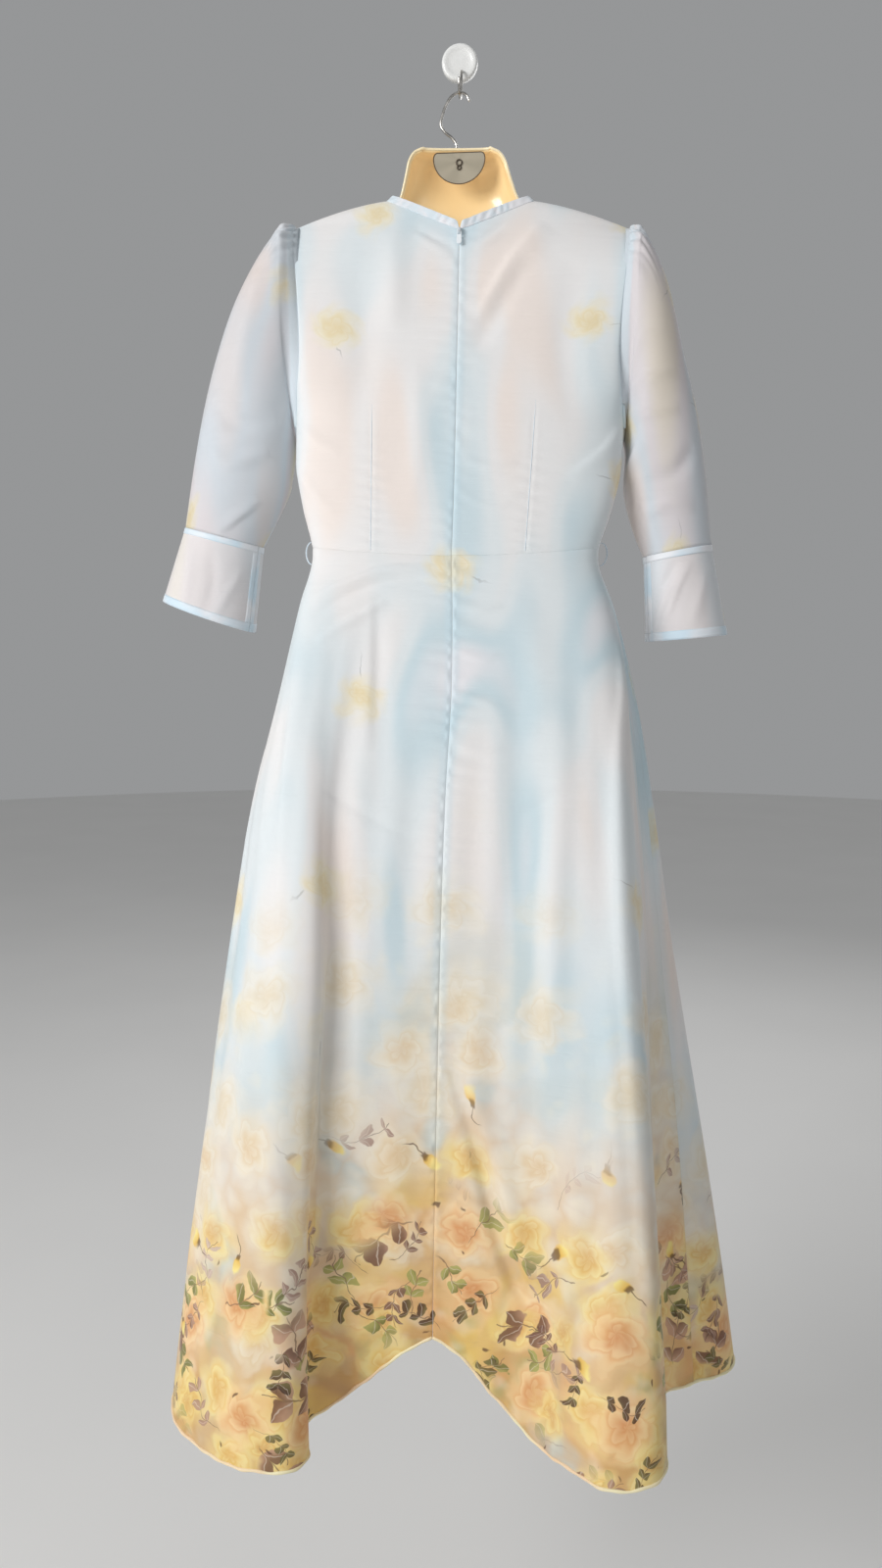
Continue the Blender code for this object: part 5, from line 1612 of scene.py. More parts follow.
@dataclass
class NeckBinding:
    """A narrow puckered band on the neck's edge, open at the zip.

    Attributes:
        height: how tall it is.
        thickness: how thick it is.
        lift: where its lower edge starts above the neck edge.
        pucker: how deep its slanting puckers are, and pucker_pitch how far apart.
    """

    height: float = 0.0095
    thickness: float = 0.0020
    lift: float = 0.0002
    pucker: float = 0.00060
    pucker_pitch: float = 0.0112

    def build(self, edges: dict[str, Array]) -> None:
        """Carries a small bulged profile along the neck's edge, which leans out from the middle."""
        loop = np.concatenate([edges["left"][:-1], edges["front"], edges["right"][-2::-1]])
        run = run_of(loop)
        fine = smooth(np.linspace(0, run[-1], 360), run, loop)
        middle = body("middle_x", fine[:, 2])
        share = np.clip((fine[:, 0] - middle) / NECK_EDGE_OUT, -1, 1)
        up = np.stack([-0.8 * share, 0 * share, 1 - 0.4 * np.abs(share)], axis=-1)
        up = up / np.linalg.norm(up, axis=1, keepdims=True)
        ahead = np.gradient(fine, axis=0)
        ahead /= np.linalg.norm(ahead, axis=1, keepdims=True)
        out = np.cross(ahead, up)
        inside = np.stack([middle, np.full_like(middle, -0.05), fine[:, 2]], axis=-1)
        out *= np.sign(np.sum(out * (fine - inside), axis=1, keepdims=True))
        levels = np.linspace(0, 1, 9)[:, None]
        along = run_of(fine)[None, :]
        drift = 1.6 * np.sin(along * 60) + 1.1 * np.sin(along * 143 + 2.0)
        waves = np.sin(2 * np.pi * (along / self.pucker_pitch + 0.6 * levels) + drift)
        waves = waves * (0.65 + 0.35 * np.sin(along * 87 + 0.5))
        bulge = self.pucker * waves * np.sin(np.pi * levels) ** 0.7
        points = fine + up * (self.lift + levels * self.height)[..., None] + out * bulge[..., None]
        notch = np.interp(levels[:, 0], (0, 0.5, 1), (0, 0.0008, 0.0024))
        fade = np.exp(-np.minimum(along, along[:, -1:] - along) / 0.006)
        left_half = (np.arange(fine.shape[0]) < fine.shape[0] / 2)[None, :]
        points[..., 0] += np.where(left_half, -1, 1) * notch[:, None] * fade
        made = cloth_sheet("neck_binding_cloth", points, inside[None], self.thickness, BINDING)
        rounded = made.modifiers.new("edge", "BEVEL")
        rounded.width = 0.0006
        rounded.segments = 2
        rounded.limit_method = "ANGLE"
        rounded.angle_limit = np.radians(50)
        dress(made, BINDING, "neck_binding")


@dataclass
class Skirt:
    """Two flared backs and a front, falling from the waist to a narrow rolled hem.

    Attributes:
        cloth: the shown thickness.
        seam: the shown gap at each seam's side.
        hem_radius: half the rolled hem's thickness.
        turn_in: how far a panel's edge turns in at a seam.
        front_print: how much lower the border print is on the front.
        ripple: how high the slow ripples between the folds are.
        pucker: how high the puckers by the zip are, and pucker_reach how far out they go.
        groove: the measure of a seam's sinking, and groove_width of its width.
        rows: how many rows a back panel's grid has, and columns how many columns.
    """

    cloth: float = 0.0008
    seam: float = 0.0002
    turn_in: float = 0.0035
    front_print: float = 1.5
    hem_radius: float = 0.0017
    ripple: float = 0.0009
    pucker: float = 0.0015
    pucker_reach: float = 0.026
    groove: float = 0.0004
    groove_width: float = 0.0024
    rows: int = 330
    columns: int = 104

    def back(self, side: Side, shares: Array, falls: Array) -> Array:
        """A back panel: each line runs from the body ring to its place on the hem, as a flat cone's do.

        Args:
            side: which back it is.
            shares: columns, from the zip (0) to the side seam (1).
            falls: rows, from the waist (0) to the hem (1).

        Returns:
            A grid of points (rows, columns, 3).
        """
        hem = hem_points(side.hem, shares)
        across, deep = quarter(1 - (1 - shares) ** SIDE_FLARE, BACK_SQUARENESS)
        return self._hung(hem, side.sign * across, deep, "back_y", -self.seam, 0.0, falls)

    def front(self, shares: Array, falls: Array) -> Array:
        """The front panel, in the same way, from the right side seam to the left one."""
        toward = 1 - 2 * shares
        across, deep = quarter(1 - (1 - np.abs(toward)) ** SIDE_FLARE, FRONT_SQUARENESS)
        hem = hem_points(HEM_FRONT, shares)
        return self._hung(hem, np.sign(toward) * across, deep, "front_y", self.seam, 2 * self.seam, falls)

    def _hung(
        self, hem: Array, across: Array, deep: Array, middle: str, side_gap: float, hem_gap: float, falls: Array
    ) -> Array:
        """Points between the body ring and the hem; the hem's share grows as the fall to FOLD_GROWTH."""
        start = waist_line(np.abs(across) * body("half_width", WAIST_Z)) - self.seam
        z = start + (hem[:, 2] - start) * falls[:, None]
        x = body("middle_x", z) + body("half_width", z) * across
        y = body(middle, z) + (body("side_y", z) + side_gap - body(middle, z)) * deep
        grown = falls[:, None] ** FOLD_GROWTH
        x = x + (hem[:, 0] - x) * grown
        y = y + (hem[:, 1] + hem_gap - y) * grown
        return slanted(np.stack([x, y, z], axis=-1))

    def build(self) -> None:
        """Makes the three panels and their rolled hems."""
        falls = np.linspace(0, 1, self.rows)
        close = np.linspace(0, 0.04, 16)
        shares = np.concatenate([close[:-1], np.linspace(0.04, 1, self.columns - 15)])
        for side in Side:
            points = self.back(side, shares, falls)
            name = f"skirt_back_{side.value}"
            flat = unrolled(points) * (side.sign, 1)
            points = self._relief(points, shares, name, side)
            points[..., 0] += side.sign * 2 * self.seam * np.exp(-run_of(points, axis=1) / 0.003)
            made = self._panel(name, points, flat)
            hem = self._hem(name, points)
        shares = np.linspace(0, 1, 116)
        points = self.front(shares, np.linspace(0, 1, 260))
        flat = unrolled(points) + (2.0, 0.0)
        points = self._relief(points, shares, "skirt_front", None)
        made = self._panel("skirt_front", points, flat)
        hem = self._hem("skirt_front", points)

    def _panel(self, name: str, points: Array, flat: Array) -> bpy.types.Object:
        """The panel's cloth, turned in at the waist, the zip and the side seams."""
        run = run_of(points, axis=0)
        above = (run[-1:] - run)[..., None]
        normals = normals_of(points, body_inside(points))
        shape = turned_in(points, normals, self.turn_in)
        tint = turning_tint(points) * soft_step(above, 0.10, 0.45)
        above = above * (self.front_print if name == "skirt_front" else 1.0)
        flat, above, tint = (turned_in(grid, 0 * grid, 0.0) for grid in (flat, above, tint))
        inside = body_inside(shape)
        made = cloth_sheet(name + "_cloth", shape, inside, self.cloth, PRINTED, flat=flat, above=above, tint=tint)
        return dress(made, PRINTED, name)

    def _hem(self, name: str, points: Array) -> bpy.types.Object:
        """A rolled edge, a thin tube that wavers a little, along the panel's last row."""
        path = points[-1].copy()
        run = run_of(path)
        path = smooth(np.linspace(0, run[-1], 420), run, path)
        along = run_of(path)
        path[:, 2] += 0.0005 * np.sin(along * 210) + 0.0004 * np.sin(along * 71 + 1.0)
        width = self.hem_radius * (1 + 0.12 * np.sin(along * 330) + 0.08 * np.sin(along * 137))
        made = tube(name + "_hem", path, width, HEM_EDGE, 8)
        return dress(made, HEM_EDGE)

    def _relief(self, points: Array, shares: Array, name: str, side: Side | None) -> Array:
        """The panel with its creases, grooves, puckers and slow ripples, along its normals."""
        normals = normals_of(points, body_inside(points))
        lift = creased(points, shares, normals, SKIRT_CREASES[name])
        down = run_of(points, axis=0)
        lift -= 1.7 * self.groove * np.exp(-((down / self.groove_width) ** 2))
        if side is not None:
            from_zip = run_of(points, axis=1)
            lift += zip_relief(from_zip, points[:, :, 2], side, self.pucker, self.pucker_reach)
        u, z = shares[None, :], points[:, :, 2]
        slow = np.sin(38 * u + 4 * z + 1.7) * np.sin(9 * z + 7 * u) + 0.6 * np.sin(61 * u - 7 * z)
        lift += self.ripple * slow * soft_step(down, 0.04, 0.36)
        first = soft_step(shares, 0.03, 0.0) if side is None else 0 * shares
        edge = np.maximum(first, soft_step(shares, 0.98, 1.0))
        return points + normals * (lift * (1 - edge[None, :]))[..., None]


@dataclass
class Sleeve:
    """A sheer elbow sleeve, pleated into the armhole, with a flared cuff slit on the body side.

    Attributes:
        side: which side it is on.
        cloth: the shown thickness.
        pleats: how many pleats its head has, and pleat_angle how wide each is.
        pleat_depth: how deep they are, and pleat_reach how far down they go.
        band: the width of a seam's or hem's folded band, and band_cloth its thickness.
        slit_angle: where the cuff's slit is, and slit_gap how wide.
        stand: how far the head stands off the armhole.
        map_radius: the radius that the print's map is laid out at.
        head: the angles between which the head is gathered.
        gather_angle: the angle of one gather, and gather_depth its height.
        underlap: how far the head goes in under the bodice's edge.
        ring_downs: the rows at which the rings are worked out.
    """

    side: Side
    cloth: float = 0.0007
    pleats: int = 4
    pleat_angle: float = np.radians(30.0)
    pleat_depth: float = 0.0034
    pleat_reach: float = 0.16
    band: float = 0.0095
    band_cloth: float = 0.0008
    slit_angle: float = np.radians(160.0)
    slit_gap: float = np.radians(0.9)
    stand: float = 0.0018
    map_radius: float = 0.068
    head: tuple[float, float] = (-0.55, 0.95)
    gather_angle: float = 0.19
    gather_depth: float = 0.0023
    underlap: float = 0.0045
    ring_downs: tuple[float, ...] = (0.0, 0.035, 0.09, 0.16, 0.27, 0.4, 0.55, 0.7, 0.85, 1.0)

    def rings(self, angles: Array, downs: Array) -> Array:
        """The sleeve's rings: slanting ellipses from the armhole to the cuff seam, the first on the armhole.

        Args:
            angles: columns, round from the outer edge over the back.
            downs: rows, from the head (0) to the cuff seam (1).

        Returns:
            A grid of points (rows, columns, 3).
        """
        row = table(SLEEVE_COLUMNS, SLEEVE_ROWS[self.side.value])
        read = {key: smooth(downs, row["down"], row[key])[:, None] for key in SLEEVE_COLUMNS[1:]}
        turn, lift = np.cos(angles)[None, :], np.sin(angles)[None, :]
        out = (read["outer"] + read["inner"]) / 2 + (read["outer"] - read["inner"]) / 2 * turn
        z = (read["outer_z"] + read["inner_z"]) / 2 + (read["outer_z"] - read["inner_z"]) / 2 * turn
        y = read["mid_y"] - read["half_depth"] * lift
        reach = np.clip(1 - downs / self.pleat_reach, 0, 1)[:, None] * (downs > 0)[:, None]
        wrapped = (angles + np.pi) % (2 * np.pi) - np.pi
        window = np.clip(1 - (wrapped / (self.pleats * self.pleat_angle / 2)) ** 2, 0, 1) ** 0.5
        wave = window * self.pleat_depth * np.cos(2 * np.pi * wrapped / self.pleat_angle) * reach
        points = np.stack(
            [body("middle_x", WAIST_Z) + self.side.sign * (out + wave * 0.6 * turn), y - wave * lift, z + wave * turn],
            axis=-1,
        )
        first_z = (SHOULDER_Z + UNDERARM_Z) / 2 + (SHOULDER_Z - UNDERARM_Z) / 2 * turn[0]
        width = body("half_width", first_z)
        first_out = width + (SHOULDER_OUT - width) * armhole_share(first_z) ** 2 + self.stand * 0.5
        first_y = body("side_y", first_z) - ARMHOLE_HALF_DEPTH * lift[0]
        first_x = body("middle_x", first_z) + self.side.sign * first_out
        points[0] = slanted(np.stack([first_x, first_y, first_z], axis=-1))
        return points

    def surface(self, angles: Array, downs: Array) -> Array:
        """The rings read smoothly at any row."""
        places = np.array(self.ring_downs)
        return smooth(downs, places, self.rings(angles, places))

    def cuff(self, angles: Array, heights: Array) -> Array:
        """The cuff, from the sleeve's last ring to its own flared lower edge."""
        top = self.rings(angles, np.array([0.97, 1.0]))[1]
        row = dict(zip(CUFF_COLUMNS, CUFF_ROWS[self.side.value]))
        turn, lift = np.cos(angles), np.sin(angles)
        out = (row["outer"] + row["inner"]) / 2 + (row["outer"] - row["inner"]) / 2 * turn
        z = (row["outer_z"] + row["inner_z"]) / 2 + (row["outer_z"] - row["inner_z"]) / 2 * turn
        x = body("middle_x", WAIST_Z) + self.side.sign * out
        bottom = np.stack([x, row["mid_y"] - row["half_depth"] * lift, z], axis=-1)
        share = heights[:, None, None]
        return top + (bottom - top) * (0.45 * share**1.25 + 0.55 * share)

    def build(self) -> None:
        """Makes the sleeve, its cuff and the folded bands of its seams and hems."""
        name = self.side.value
        first, last = self.head
        close = np.linspace(first, last, 84, endpoint=False)
        angles = np.concatenate([close, np.linspace(last, 2 * np.pi + first, 112, endpoint=False)])
        downs = np.linspace(0, 1, 116) ** 1.25
        points = self.surface(angles, downs)
        inside = points.mean(axis=1, keepdims=True)
        normals = normals_of(points, inside, closed=True)
        lift = creased(points, angles / (2 * np.pi), normals, SLEEVE_CREASES["sleeve_" + name])
        wrapped = (angles + np.pi) % (2 * np.pi) - np.pi
        from_head = run_of(points, axis=0)
        middle = (first + last) / 2
        window = soft_step(np.abs(wrapped - middle), (last - first) / 2, 0.25)
        waves = np.sin(2 * np.pi * (wrapped - middle) / self.gather_angle + 0.8 * np.sin(wrapped * 9))
        gathers = self.gather_depth * waves * window
        reach = soft_step(from_head, 0.0, 0.005) * np.exp(-((from_head / 0.030) ** 1.6))
        lift = lift + gathers[None, :] * reach - 0.0006 * np.exp(-((from_head / 0.0015) ** 2))
        lift = lift + 0.0006 * soft_step(from_head, 0.0110, 0.0090)
        shown = points + normals * lift[..., None]
        tint = 0.75 * soft_step(from_head, 0.0108, 0.0094)
        under = shown[:1] - np.array([self.side.sign * self.underlap, 0, 0])
        shown, tint = np.concatenate([under, shown]), np.concatenate([tint[:1], tint])
        inside = np.concatenate([inside[:1], inside])
        flat = self._round_map(shown) + (4.0 + self.side.sign, 0.9)
        made = cloth_sheet(f"sleeve_{name}_cloth", shown, inside, self.cloth, SHEER, True, flat, tint=tint)
        dress(made, SHEER, f"sleeve_{name}")
        slit = np.linspace(self.slit_angle + self.slit_gap / 2, self.slit_angle + 2 * np.pi - self.slit_gap / 2, 120)
        heights = np.linspace(0, 1, 44)
        cuff = self.cuff(slit, heights)
        inside = cuff.mean(axis=1, keepdims=True)
        normals = normals_of(cuff, inside)
        folds = creased(cuff, np.linspace(0, 1, len(slit)), normals, SLEEVE_CREASES["cuff_" + name])
        folds = folds * (soft_step(heights, 0.0, 0.14) * soft_step(heights, 1.0, 0.90))[:, None]
        cuff = cuff + normals * folds[..., None]
        flat = np.stack([run_of(cuff, axis=1) + 5.0, 0.5 - run_of(cuff, axis=0)], axis=-1)
        made = cloth_sheet(f"cuff_{name}_cloth", cuff, inside, self.cloth, CUFF, flat=flat)
        dress(made, CUFF, f"cuff_{name}")
        length = run_of(cuff, axis=0)[-1].mean()
        rows = max(3, int(round(self.band / length * len(heights))) + 1)
        width = run_of(cuff, axis=1)[-1, -1]
        count = max(3, int(round(self.band / width * cuff.shape[1])) + 1)
        inner = slice(rows - 1, 1 - rows)
        parts = {
            "seam_band": (slice(rows), slice(None)),
            "hem_band": (slice(-rows, None), slice(None)),
            "slit_band_back": (inner, slice(count)),
            "slit_band_front": (inner, slice(-count, None)),
        }
        bands = [self._band(f"cuff_{name}_{band}", cuff[part], normals[part]) for band, part in parts.items()]

    def _round_map(self, points: Array) -> Array:
        """The sleeve's map: the angle round its axis times its mean radius, and the distance down the axis."""
        start = points[0].mean(axis=0)
        axis = points[-1].mean(axis=0) - start
        axis /= np.linalg.norm(axis)
        aside = np.cross(axis, (0.0, 1.0, 0.0))
        ahead = np.cross(aside, axis)
        off = points - start
        angle = np.arctan2(off @ ahead, off @ aside * self.side.sign)
        return np.stack([self.map_radius * angle, -(off @ axis)], axis=-1)

    def _band(self, name: str, points: Array, normals: Array) -> bpy.types.Object:
        """A folded band lying on a panel: the panel's own points, a little way out, with its own wall."""
        lifted = points + normals * (self.cloth / 2 + self.band_cloth / 2 - 0.0003)
        inside = lifted - normals
        made = cloth_sheet(name, lifted, inside.mean(axis=(0, 1), keepdims=True), self.band_cloth, SHEER_BAND)
        return dress(made, SHEER_BAND)


@dataclass
class BeltLoops:
    """A loop of twisted thread across the waist seam at each side.

    Attributes:
        height: how tall a loop is.
        strand: the radius of each of its two strands.
        out: how far it bows from the cloth.
        turns: how many times the strands cross.
        stand: how far its ends stand off the cloth.
    """

    height: float = 0.026
    strand: float = 0.00048
    out: float = 0.0072
    turns: int = 11
    stand: float = 0.0016

    def build(self, bodice: Bodice, skirt: Skirt) -> None:
        """Winds two strands round a half ellipse that stands out from the side seam."""
        rise = self.height * 0.3 / (SHOULDER_Z - WAIST_Z)
        fall = self.height * 0.7 / (WAIST_Z - HEM_FRONT[0][2])
        share = np.linspace(0, 1, 90)[:, None]
        bow = np.sqrt(np.clip(1 - (2 * share - 1) ** 2, 0, 1))
        for side in Side:
            upper = bodice.surface(side.sign, False, np.array([1.0]), np.array([rise]))[0]
            lower = skirt.back(side, np.array([1.0]), np.array([fall]))[0]
            outward = np.array([side.sign, 0.0, 0.0])
            middle = lower + (upper - lower) * share + outward * (self.stand + self.out * bow)
            turn = 2 * np.pi * self.turns * share
            strands = [
                middle + self.strand * sign * (np.cos(turn) * outward + np.sin(turn) * np.array([0.0, 1.0, 0.0]))
                for sign in (-1, 1)
            ]
            made = joined_tubes(f"belt_loop_{side.value}_thread", strands, self.strand, THREAD)
            dress(made, THREAD, f"belt_loop_{side.value}")


# ---- The form and the hooks

FORM_COLUMNS = ("rim_out", "rim_z", "rim_y", "front_z", "front_y")
FORM_SHOULDER_ROWS = (
    (0.1830, -0.2155, -0.0540, -0.2460, -0.0320),
    (0.1700, -0.2000, -0.0520, -0.2370, -0.0345),
    (0.1450, -0.1882, -0.0500, -0.2290, -0.0370),
    (0.1120, -0.1800, -0.0485, -0.2200, -0.0370),
    (0.0895, -0.1812, -0.0480, -0.2140, -0.0345),
    (0.0747, -0.1775, -0.0480, -0.2040, -0.0300),
    (0.0680, -0.1660, -0.0485, -0.1870, -0.0240),
    (0.0630, -0.1520, -0.0510, -0.1640, -0.0200),
    (0.0592, -0.1400, -0.0540, -0.1460, -0.0180),
    (0.0552, -0.1270, -0.0550, -0.1290, -0.0175),
    (0.0490, -0.1185, -0.0550, -0.1190, -0.0185),
    (0.0410, -0.1148, -0.0550, -0.1148, -0.0230),
    (0.0390, -0.1142, -0.0550, -0.1142, -0.0505),
)


@dataclass
class TorsoForm:
    """The hollow half torso, open toward the viewer.

    Attributes:
        wall: its thickness.
        bottom: its lower edge's height.
        armpit: where its shoulders start.
        inset: how far inside the cloth it lies.
        rim_step: how far its rim lies forward of the cloth's back.
        squareness: how square its sections are.
        rim: the radius of the rounded lip on its edge.
    """

    wall: float = 0.0028
    bottom: float = -0.828
    armpit: float = -0.250
    inset: float = 0.0065
    rim_step: float = 0.031
    squareness: float = 2.4
    rim: float = 0.0016

    def sections(self, shares: Array) -> Array:
        """C-shaped sections up over the shoulders, round the neck and in over the flat top."""
        low = np.linspace(self.bottom, self.armpit, 11)
        upper = table(FORM_COLUMNS, FORM_SHOULDER_ROWS)
        rim_out = np.concatenate([body("half_width", low) - self.inset, upper["rim_out"]])
        rim_z = np.concatenate([low, upper["rim_z"]])
        rim_y = np.concatenate([body("back_y", low) + self.rim_step, upper["rim_y"]])
        front_z = np.concatenate([low, upper["front_z"]])
        front_y = np.concatenate([body("front_y", low) - self.inset, upper["front_y"]])
        across, deep = quarter(np.abs(shares), self.squareness)
        reach = 1 - deep
        out = rim_out[:, None] * across * np.sign(shares)
        z = rim_z[:, None] + (front_z - rim_z)[:, None] * reach
        y = rim_y[:, None] + (front_y - rim_y)[:, None] * reach + bust(out, z) * reach
        neck_share = np.clip((z - SHOULDER_Z) / (upper["rim_z"][-1] - SHOULDER_Z), 0, 1)
        middle = body("middle_x", z) * (1 - neck_share)
        return slanted(np.stack([middle + out, y, z], axis=-1))

    def build(self) -> None:
        """Makes the shell and the pale lip along its edge."""
        shares = np.linspace(-1, 1, 101)
        coarse = self.sections(shares)
        run = run_of(coarse, axis=0).mean(axis=1)
        points = smooth(np.linspace(0, run[-1], 170), run, coarse)
        made = add_mesh("torso_form_shell", points, grid_faces(*points.shape[:2]), FORM_PLASTIC)
        add_wall(made, self.wall, 1.0)
        dress(made, FORM_PLASTIC, "torso_form")
        edge = np.concatenate([points[:, 0], points[-1, 1:-1], points[::-1, -1]])
        run = run_of(edge)
        keep = edge[np.concatenate([[True], np.diff(run) > 1e-5])]
        run = run_of(keep)
        line = smooth(np.linspace(0, run[-1], 500), run, keep)
        inward = np.array([0.0, -0.0004, 0.0])
        dress(tube("torso_form_lip", line + inward, self.rim, RIM_PLASTIC, 8), RIM_PLASTIC)


@dataclass
class HookPlate:
    """The half-round plate inside the form's neck, and the wire's small eye on it.

    Attributes:
        radius: half its width.
        drop: how far it reaches down.
        thickness: how thick it is.
        top: its top edge's height.
        middle_x: where its middle is.
        y: its place from the wall.
        shoulder: the height of its straight upper sides.
        rings: height and radius of each ring of the eye.
        outline: the radius of its dark edge line, and eye of the eye's wire.
    """

    radius: float = 0.0300
    drop: float = 0.0345
    thickness: float = 0.0020
    top: float = -0.1184
    middle_x: float = 0.0030
    y: float = -0.0525
    shoulder: float = 0.006
    rings: tuple[tuple[float, float], ...] = ((-0.1296, 0.0032), (-0.1352, 0.0021))
    outline: float = 0.00055
    eye: float = 0.0008

    def build(self) -> None:
        """A rounded prism for the plate and a small torus for each ring of the eye."""
        angles = np.linspace(2 * np.pi, np.pi, 41)
        lower = np.stack(
            [self.radius * np.cos(angles), (self.drop - self.shoulder) * np.sin(angles) - self.shoulder], axis=1
        )
        corner = np.array([[-0.0293, -0.0030], [-0.0278, -0.0008], [-0.0258, 0.0]])
        outline = np.concatenate([lower, corner, corner[::-1] * (-1, 1)])
        made = prism("hook_plate_shaped", [outline], self.thickness / 2, PLATE_METAL, 0.0004)
        place(made, Matrix.Translation((self.middle_x, self.y, self.top)) @ Matrix.Rotation(np.pi / 2, 4, "X"))
        dress(made, PLATE_METAL, "hook_plate")
        face = self.y - self.thickness / 2
        closed = np.concatenate([outline, outline[:1]])
        closed = closed[np.concatenate([[True], np.linalg.norm(np.diff(closed, axis=0), axis=1) > 1e-6])]
        line = np.stack([closed[:, 0] + self.middle_x, np.full(len(closed), face), closed[:, 1] + self.top], axis=1)
        dress(tube("hook_plate_outline", line, self.outline, PLATE_LINE, 6), PLATE_LINE)
        turn = np.linspace(0, 2 * np.pi, 33)
        depth = np.full(len(turn), self.y - self.thickness / 2 - self.eye)
        paths = [
            np.stack([self.middle_x + r * np.cos(turn), depth, z + r * np.sin(turn)], axis=1)
            for z, r in self.rings
        ]
        made = joined_tubes("hook_plate_eye", paths, self.eye, EYE_WIRE, 8)
        dress(made, EYE_WIRE)


HOOK_X = 0.0030
HOOK_Y = -0.0470
HOOK_APEX_Z = -0.0500


@dataclass
class WallHook:
    """The form's wire hook, the wall disc and the bent arm under it.

    Attributes:
        wire: the hook's thickness, and arm the arm's.
        disc_radius: half the disc's width.
        disc_depth: how far it stands from the wall.
        disc_edge: how far its face's edge is rounded.
        touch: the gap left between the hook and the arm.
        hook_line: places (x, z) that the wire hook runs through.
    """

    wire: float = 0.0033
    arm: float = 0.0030
    disc_radius: float = 0.0212
    disc_depth: float = 0.0105
    disc_edge: float = 0.0030
    touch: float = 0.0003
    hook_line: tuple[tuple[float, float], ...] = (
        (-0.0006, -0.1137),
        (-0.0010, -0.1065),
        (-0.0058, -0.0998),
        (-0.0142, -0.0930),
        (-0.0188, -0.0855),
        (-0.0172, -0.0748),
        (-0.0130, -0.0640),
        (-0.0065, -0.0545),
        (HOOK_X, HOOK_APEX_Z),
        (0.0110, -0.0535),
        (0.0146, -0.0610),
    )

    def build(self) -> None:
        """Round wires along smooth lines, and a turned disc with a rounded face."""
        self._wire("hanger_hook_wire", [(x, HOOK_Y, z) for x, z in self.hook_line], self.wire, "hanger_hook")
        seat = HOOK_APEX_Z - self.wire / 2 - 2 * self.touch - self.arm / 2
        arm_line = (
            (-0.0085, -0.0110),
            (-0.0150, -0.0130),
            (-0.0190, -0.0220),
            (-0.0240, -0.0400),
            (-0.0330, -0.0505),
            (HOOK_Y, seat),
            (-0.0560, -0.0480),
            (-0.0590, -0.0380),
        )
        self._wire("wall_hook_arm_wire", [(HOOK_X, y, z) for y, z in arm_line], self.arm, "wall_hook_arm")
        turn = np.linspace(0, np.pi / 2, 9)
        flat, deep, edge = self.disc_radius, self.disc_depth, self.disc_edge
        face = np.stack([flat - edge + edge * np.cos(turn), -(deep - edge) - edge * np.sin(turn)], axis=1)
        inner = np.array([[0.72 * flat, -deep], [0.70 * flat, -deep + 0.0003], [0.4 * flat, -deep + 0.0003]])
        profile = np.concatenate([[(0, 0), (flat - 0.0004, 0), (flat, -0.0004)], face, inner, [(0, -deep + 0.0003)]])
        dress(lathe("wall_hook_disc_turned", profile, DISC_PLASTIC), DISC_PLASTIC, "wall_hook_disc")

    def _wire(self, name: str, points: list, diameter: float, node: str) -> None:
        """A round wire along a smooth line, with domed ends."""
        line = np.array(points)
        run = run_of(line)
        path = smooth(np.linspace(0, run[-1], 120), run, line)
        along = run_of(path)
        to_end = np.minimum(along, along[-1] - along) / (diameter / 2)
        radius = diameter / 2 * np.sqrt(np.clip(1 - (1 - np.clip(to_end, 0, 1)) ** 2, 0.02, 1))
        dress(tube(name, path, radius, HOOK_METAL, 14), HOOK_METAL, node)


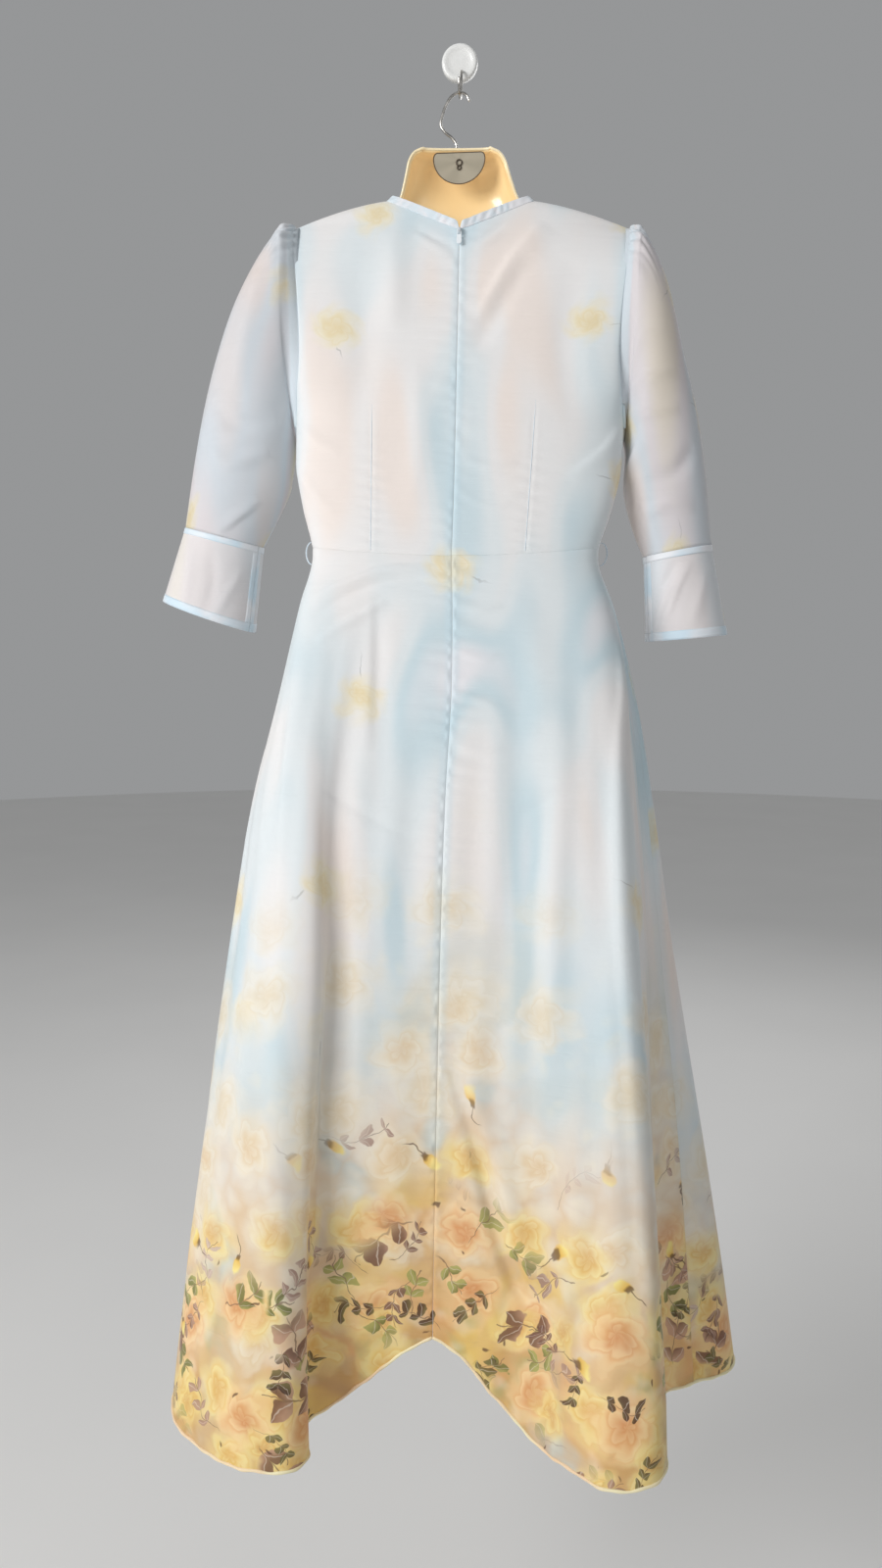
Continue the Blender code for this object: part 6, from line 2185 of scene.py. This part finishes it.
@dataclass
class Zip:
    """The slider at the top of the zip, and the pull tab that swings on its bridge.

    Attributes:
        top: the slider's height.
        width: the slider's width.
        tab_width: the tab's width at its eye.
        tab_tip: the radius of its round end.
        tab_length: its length.
        tab_thickness: how thick it is.
        stand: how far its pivot stands off the zip.
        binding: the thickness that the slider clears, and touch the gap beside it.
    """

    top: float = -0.2125
    width: float = 0.0030
    tab_width: float = 0.0054
    tab_tip: float = 0.0030
    tab_length: float = 0.0175
    tab_thickness: float = 0.0010
    stand: float = 0.0028
    binding: float = 0.0024
    touch: float = 0.0003

    def build(self, bodice: Bodice) -> None:
        """Rounds both metal shapes and sets them on the zip's slope."""
        seam = bodice.surface(1, False, np.array([0.0]), np.linspace(0.8, 1, 41))[:, 0]
        above, at, below = (
            smooth(np.array([z]), seam[:, 2], seam)[0] for z in (self.top + 0.004, self.top, self.top - 0.016)
        )
        tilt = np.arctan2(above[1] - below[1], above[2] - below[2])
        y = at[1] - (self.binding / 2 + 2 * self.touch) / np.cos(tilt)
        seat = Matrix.Translation((at[0], y, self.top)) @ Matrix.Rotation(-tilt, 4, "X")
        turn = Matrix(((0, 0, -1), (-1, 0, 0), (0, 1, 0))).to_4x4()
        side_view = [(0.0, 0.0045), (0.0, -0.0045), (0.0010, -0.0045), (0.0032, -0.0034), (0.0048, -0.0016)]
        side_view += [(0.0053, 0.0004), (0.0047, 0.0022), (0.0028, 0.0036), (0.0010, 0.0045)]
        hole = [(0.0017, -0.0022), (0.0017, 0.0018), (0.0031, 0.0020), (0.0040, 0.0010)]
        hole += [(0.0043, -0.0004), (0.0036, -0.0018)]
        made = prism("zip_slider_cast", [np.array(side_view), np.array(hole)], self.width / 2, SLIDER_METAL, 0.0002)
        place(made, seat @ turn)
        dress(made, SLIDER_METAL, "zip_slider")
        half = self.tab_width / 2
        bar = 0.0004
        eye = [(-0.0019, -bar), (0.0019, -bar), (0.0019, -0.0056), (-0.0019, -0.0056)]
        edge = [(-half, bar), (half, bar), (half, -0.0060), (0.0026, -0.0080), (0.0030, -0.0120)]
        tip = -self.tab_length + self.tab_tip
        edge += [(self.tab_tip * np.sin(a), tip - self.tab_tip * np.cos(a)) for a in np.linspace(1.5, -1.5, 15)]
        edge += [(-0.0030, -0.0120), (-0.0026, -0.0080), (-half, -0.0060)]
        made = prism("zip_pull_tab_cast", [np.array(edge), np.array(eye)], self.tab_thickness / 2, TAB_PAINT, 0.0002)
        lean = Matrix.Translation((0, -self.stand, 0)) @ Matrix.Rotation(np.pi / 2, 4, "X")
        place(made, seat @ lean)
        dress(made, TAB_PAINT, "zip_pull_tab", moves_with="pull_tab")


# ---- The studio


@dataclass
class Studio:
    """Camera, lights and floor.

    Attributes:
        position: where the camera is.
        pitch: how far it looks down, and yaw how far to the left.
        lens: its focal length for a 36 mm sensor along the picture's long side.
        floor_z: the floor's height.
        floor_radius: half the floor's width.
        aim: the point that the lights face.
        lights: each light's name, place, size and power.
    """

    position: tuple[float, float, float] = (0.1070, -1.5000, -0.6720)
    pitch: float = np.radians(7.298)
    yaw: float = np.radians(4.946)
    lens: float = 27.045
    floor_z: float = -2.05
    floor_radius: float = 9.0
    aim: tuple[float, float, float] = (0.0, -0.15, -0.85)
    lights: tuple[tuple[str, tuple[float, float, float], float, float], ...] = (
        ("key", (-2.6, -2.7, 0.55), 1.7, 104.0),
        ("fill", (1.6, -3.4, 0.6), 2.0, 9.0),
        ("back", (0.8, 2.6, 0.8), 2.2, 24.0),
    )

    def build(self) -> None:
        """Sets the camera, three soft lights, a plain background and the floor."""
        scene = bpy.context.scene
        scene.view_settings.view_transform = "Standard"
        data = bpy.data.cameras.new("camera")
        data.lens = self.lens
        data.sensor_width = 36.0
        data.clip_start = 0.01
        camera = bpy.data.objects.new("camera", data)
        scene.collection.objects.link(camera)
        level = np.cos(self.pitch)
        forward = np.array([-np.sin(self.yaw) * level, np.cos(self.yaw) * level, -np.sin(self.pitch)])
        right = np.array([np.cos(self.yaw), np.sin(self.yaw), 0.0])
        up = np.cross(right, forward)
        axes = np.stack([right, up, -forward], axis=1)
        camera.matrix_world = Matrix.Translation(self.position) @ Matrix(axes.tolist()).to_4x4()
        scene.camera = camera
        world = bpy.data.worlds.new("studio")
        world.use_nodes = True
        background = world.node_tree.nodes["Background"]
        background.inputs["Color"].default_value = (0.66, 0.67, 0.68, 1.0)
        background.inputs["Strength"].default_value = 0.46
        scene.world = world
        for name, at, size, power in self.lights:
            self._light(name, at, size, power)
        self._floor()

    def _light(self, name: str, at: tuple, size: float, power: float) -> None:
        """A soft square light that faces the aim."""
        data = bpy.data.lights.new(name, "AREA")
        data.size = size
        data.energy = power
        lamp = bpy.data.objects.new(name, data)
        ahead = np.array(self.aim) - np.array(at)
        ahead /= np.linalg.norm(ahead)
        right = np.cross(ahead, (0.0, 0.0, 1.0))
        right /= np.linalg.norm(right)
        axes = np.stack([right, np.cross(right, ahead), -ahead], axis=1)
        lamp.matrix_world = Matrix.Translation(at) @ Matrix(axes.tolist()).to_4x4()
        bpy.context.scene.collection.objects.link(lamp)

    def _floor(self) -> None:
        """A wide flat disc."""
        turn = np.linspace(0, 2 * np.pi, 96, endpoint=False)
        radius = np.array([0.0, 2.0, self.floor_radius])[:, None]
        points = np.stack([radius * np.cos(turn), radius * np.sin(turn), np.full((3, 96), self.floor_z)], axis=-1)
        floor = add_mesh("floor", points, grid_faces(3, 96, closed=True), FloorPaint())
        clean(floor)


def main() -> None:
    """Builds every sub-assembly in order."""
    logging.basicConfig(level=logging.INFO, format="%(message)s")
    Studio().build()
    bodice, skirt = Bodice(), Skirt()
    edges = bodice.build()
    NeckBinding().build(edges)
    skirt.build()
    for side in Side:
        Sleeve(side).build()
    BeltLoops().build(bodice, skirt)
    TorsoForm().build()
    HookPlate().build()
    WallHook().build()
    Zip().build(bodice)


if __name__ == "__main__":
    main()
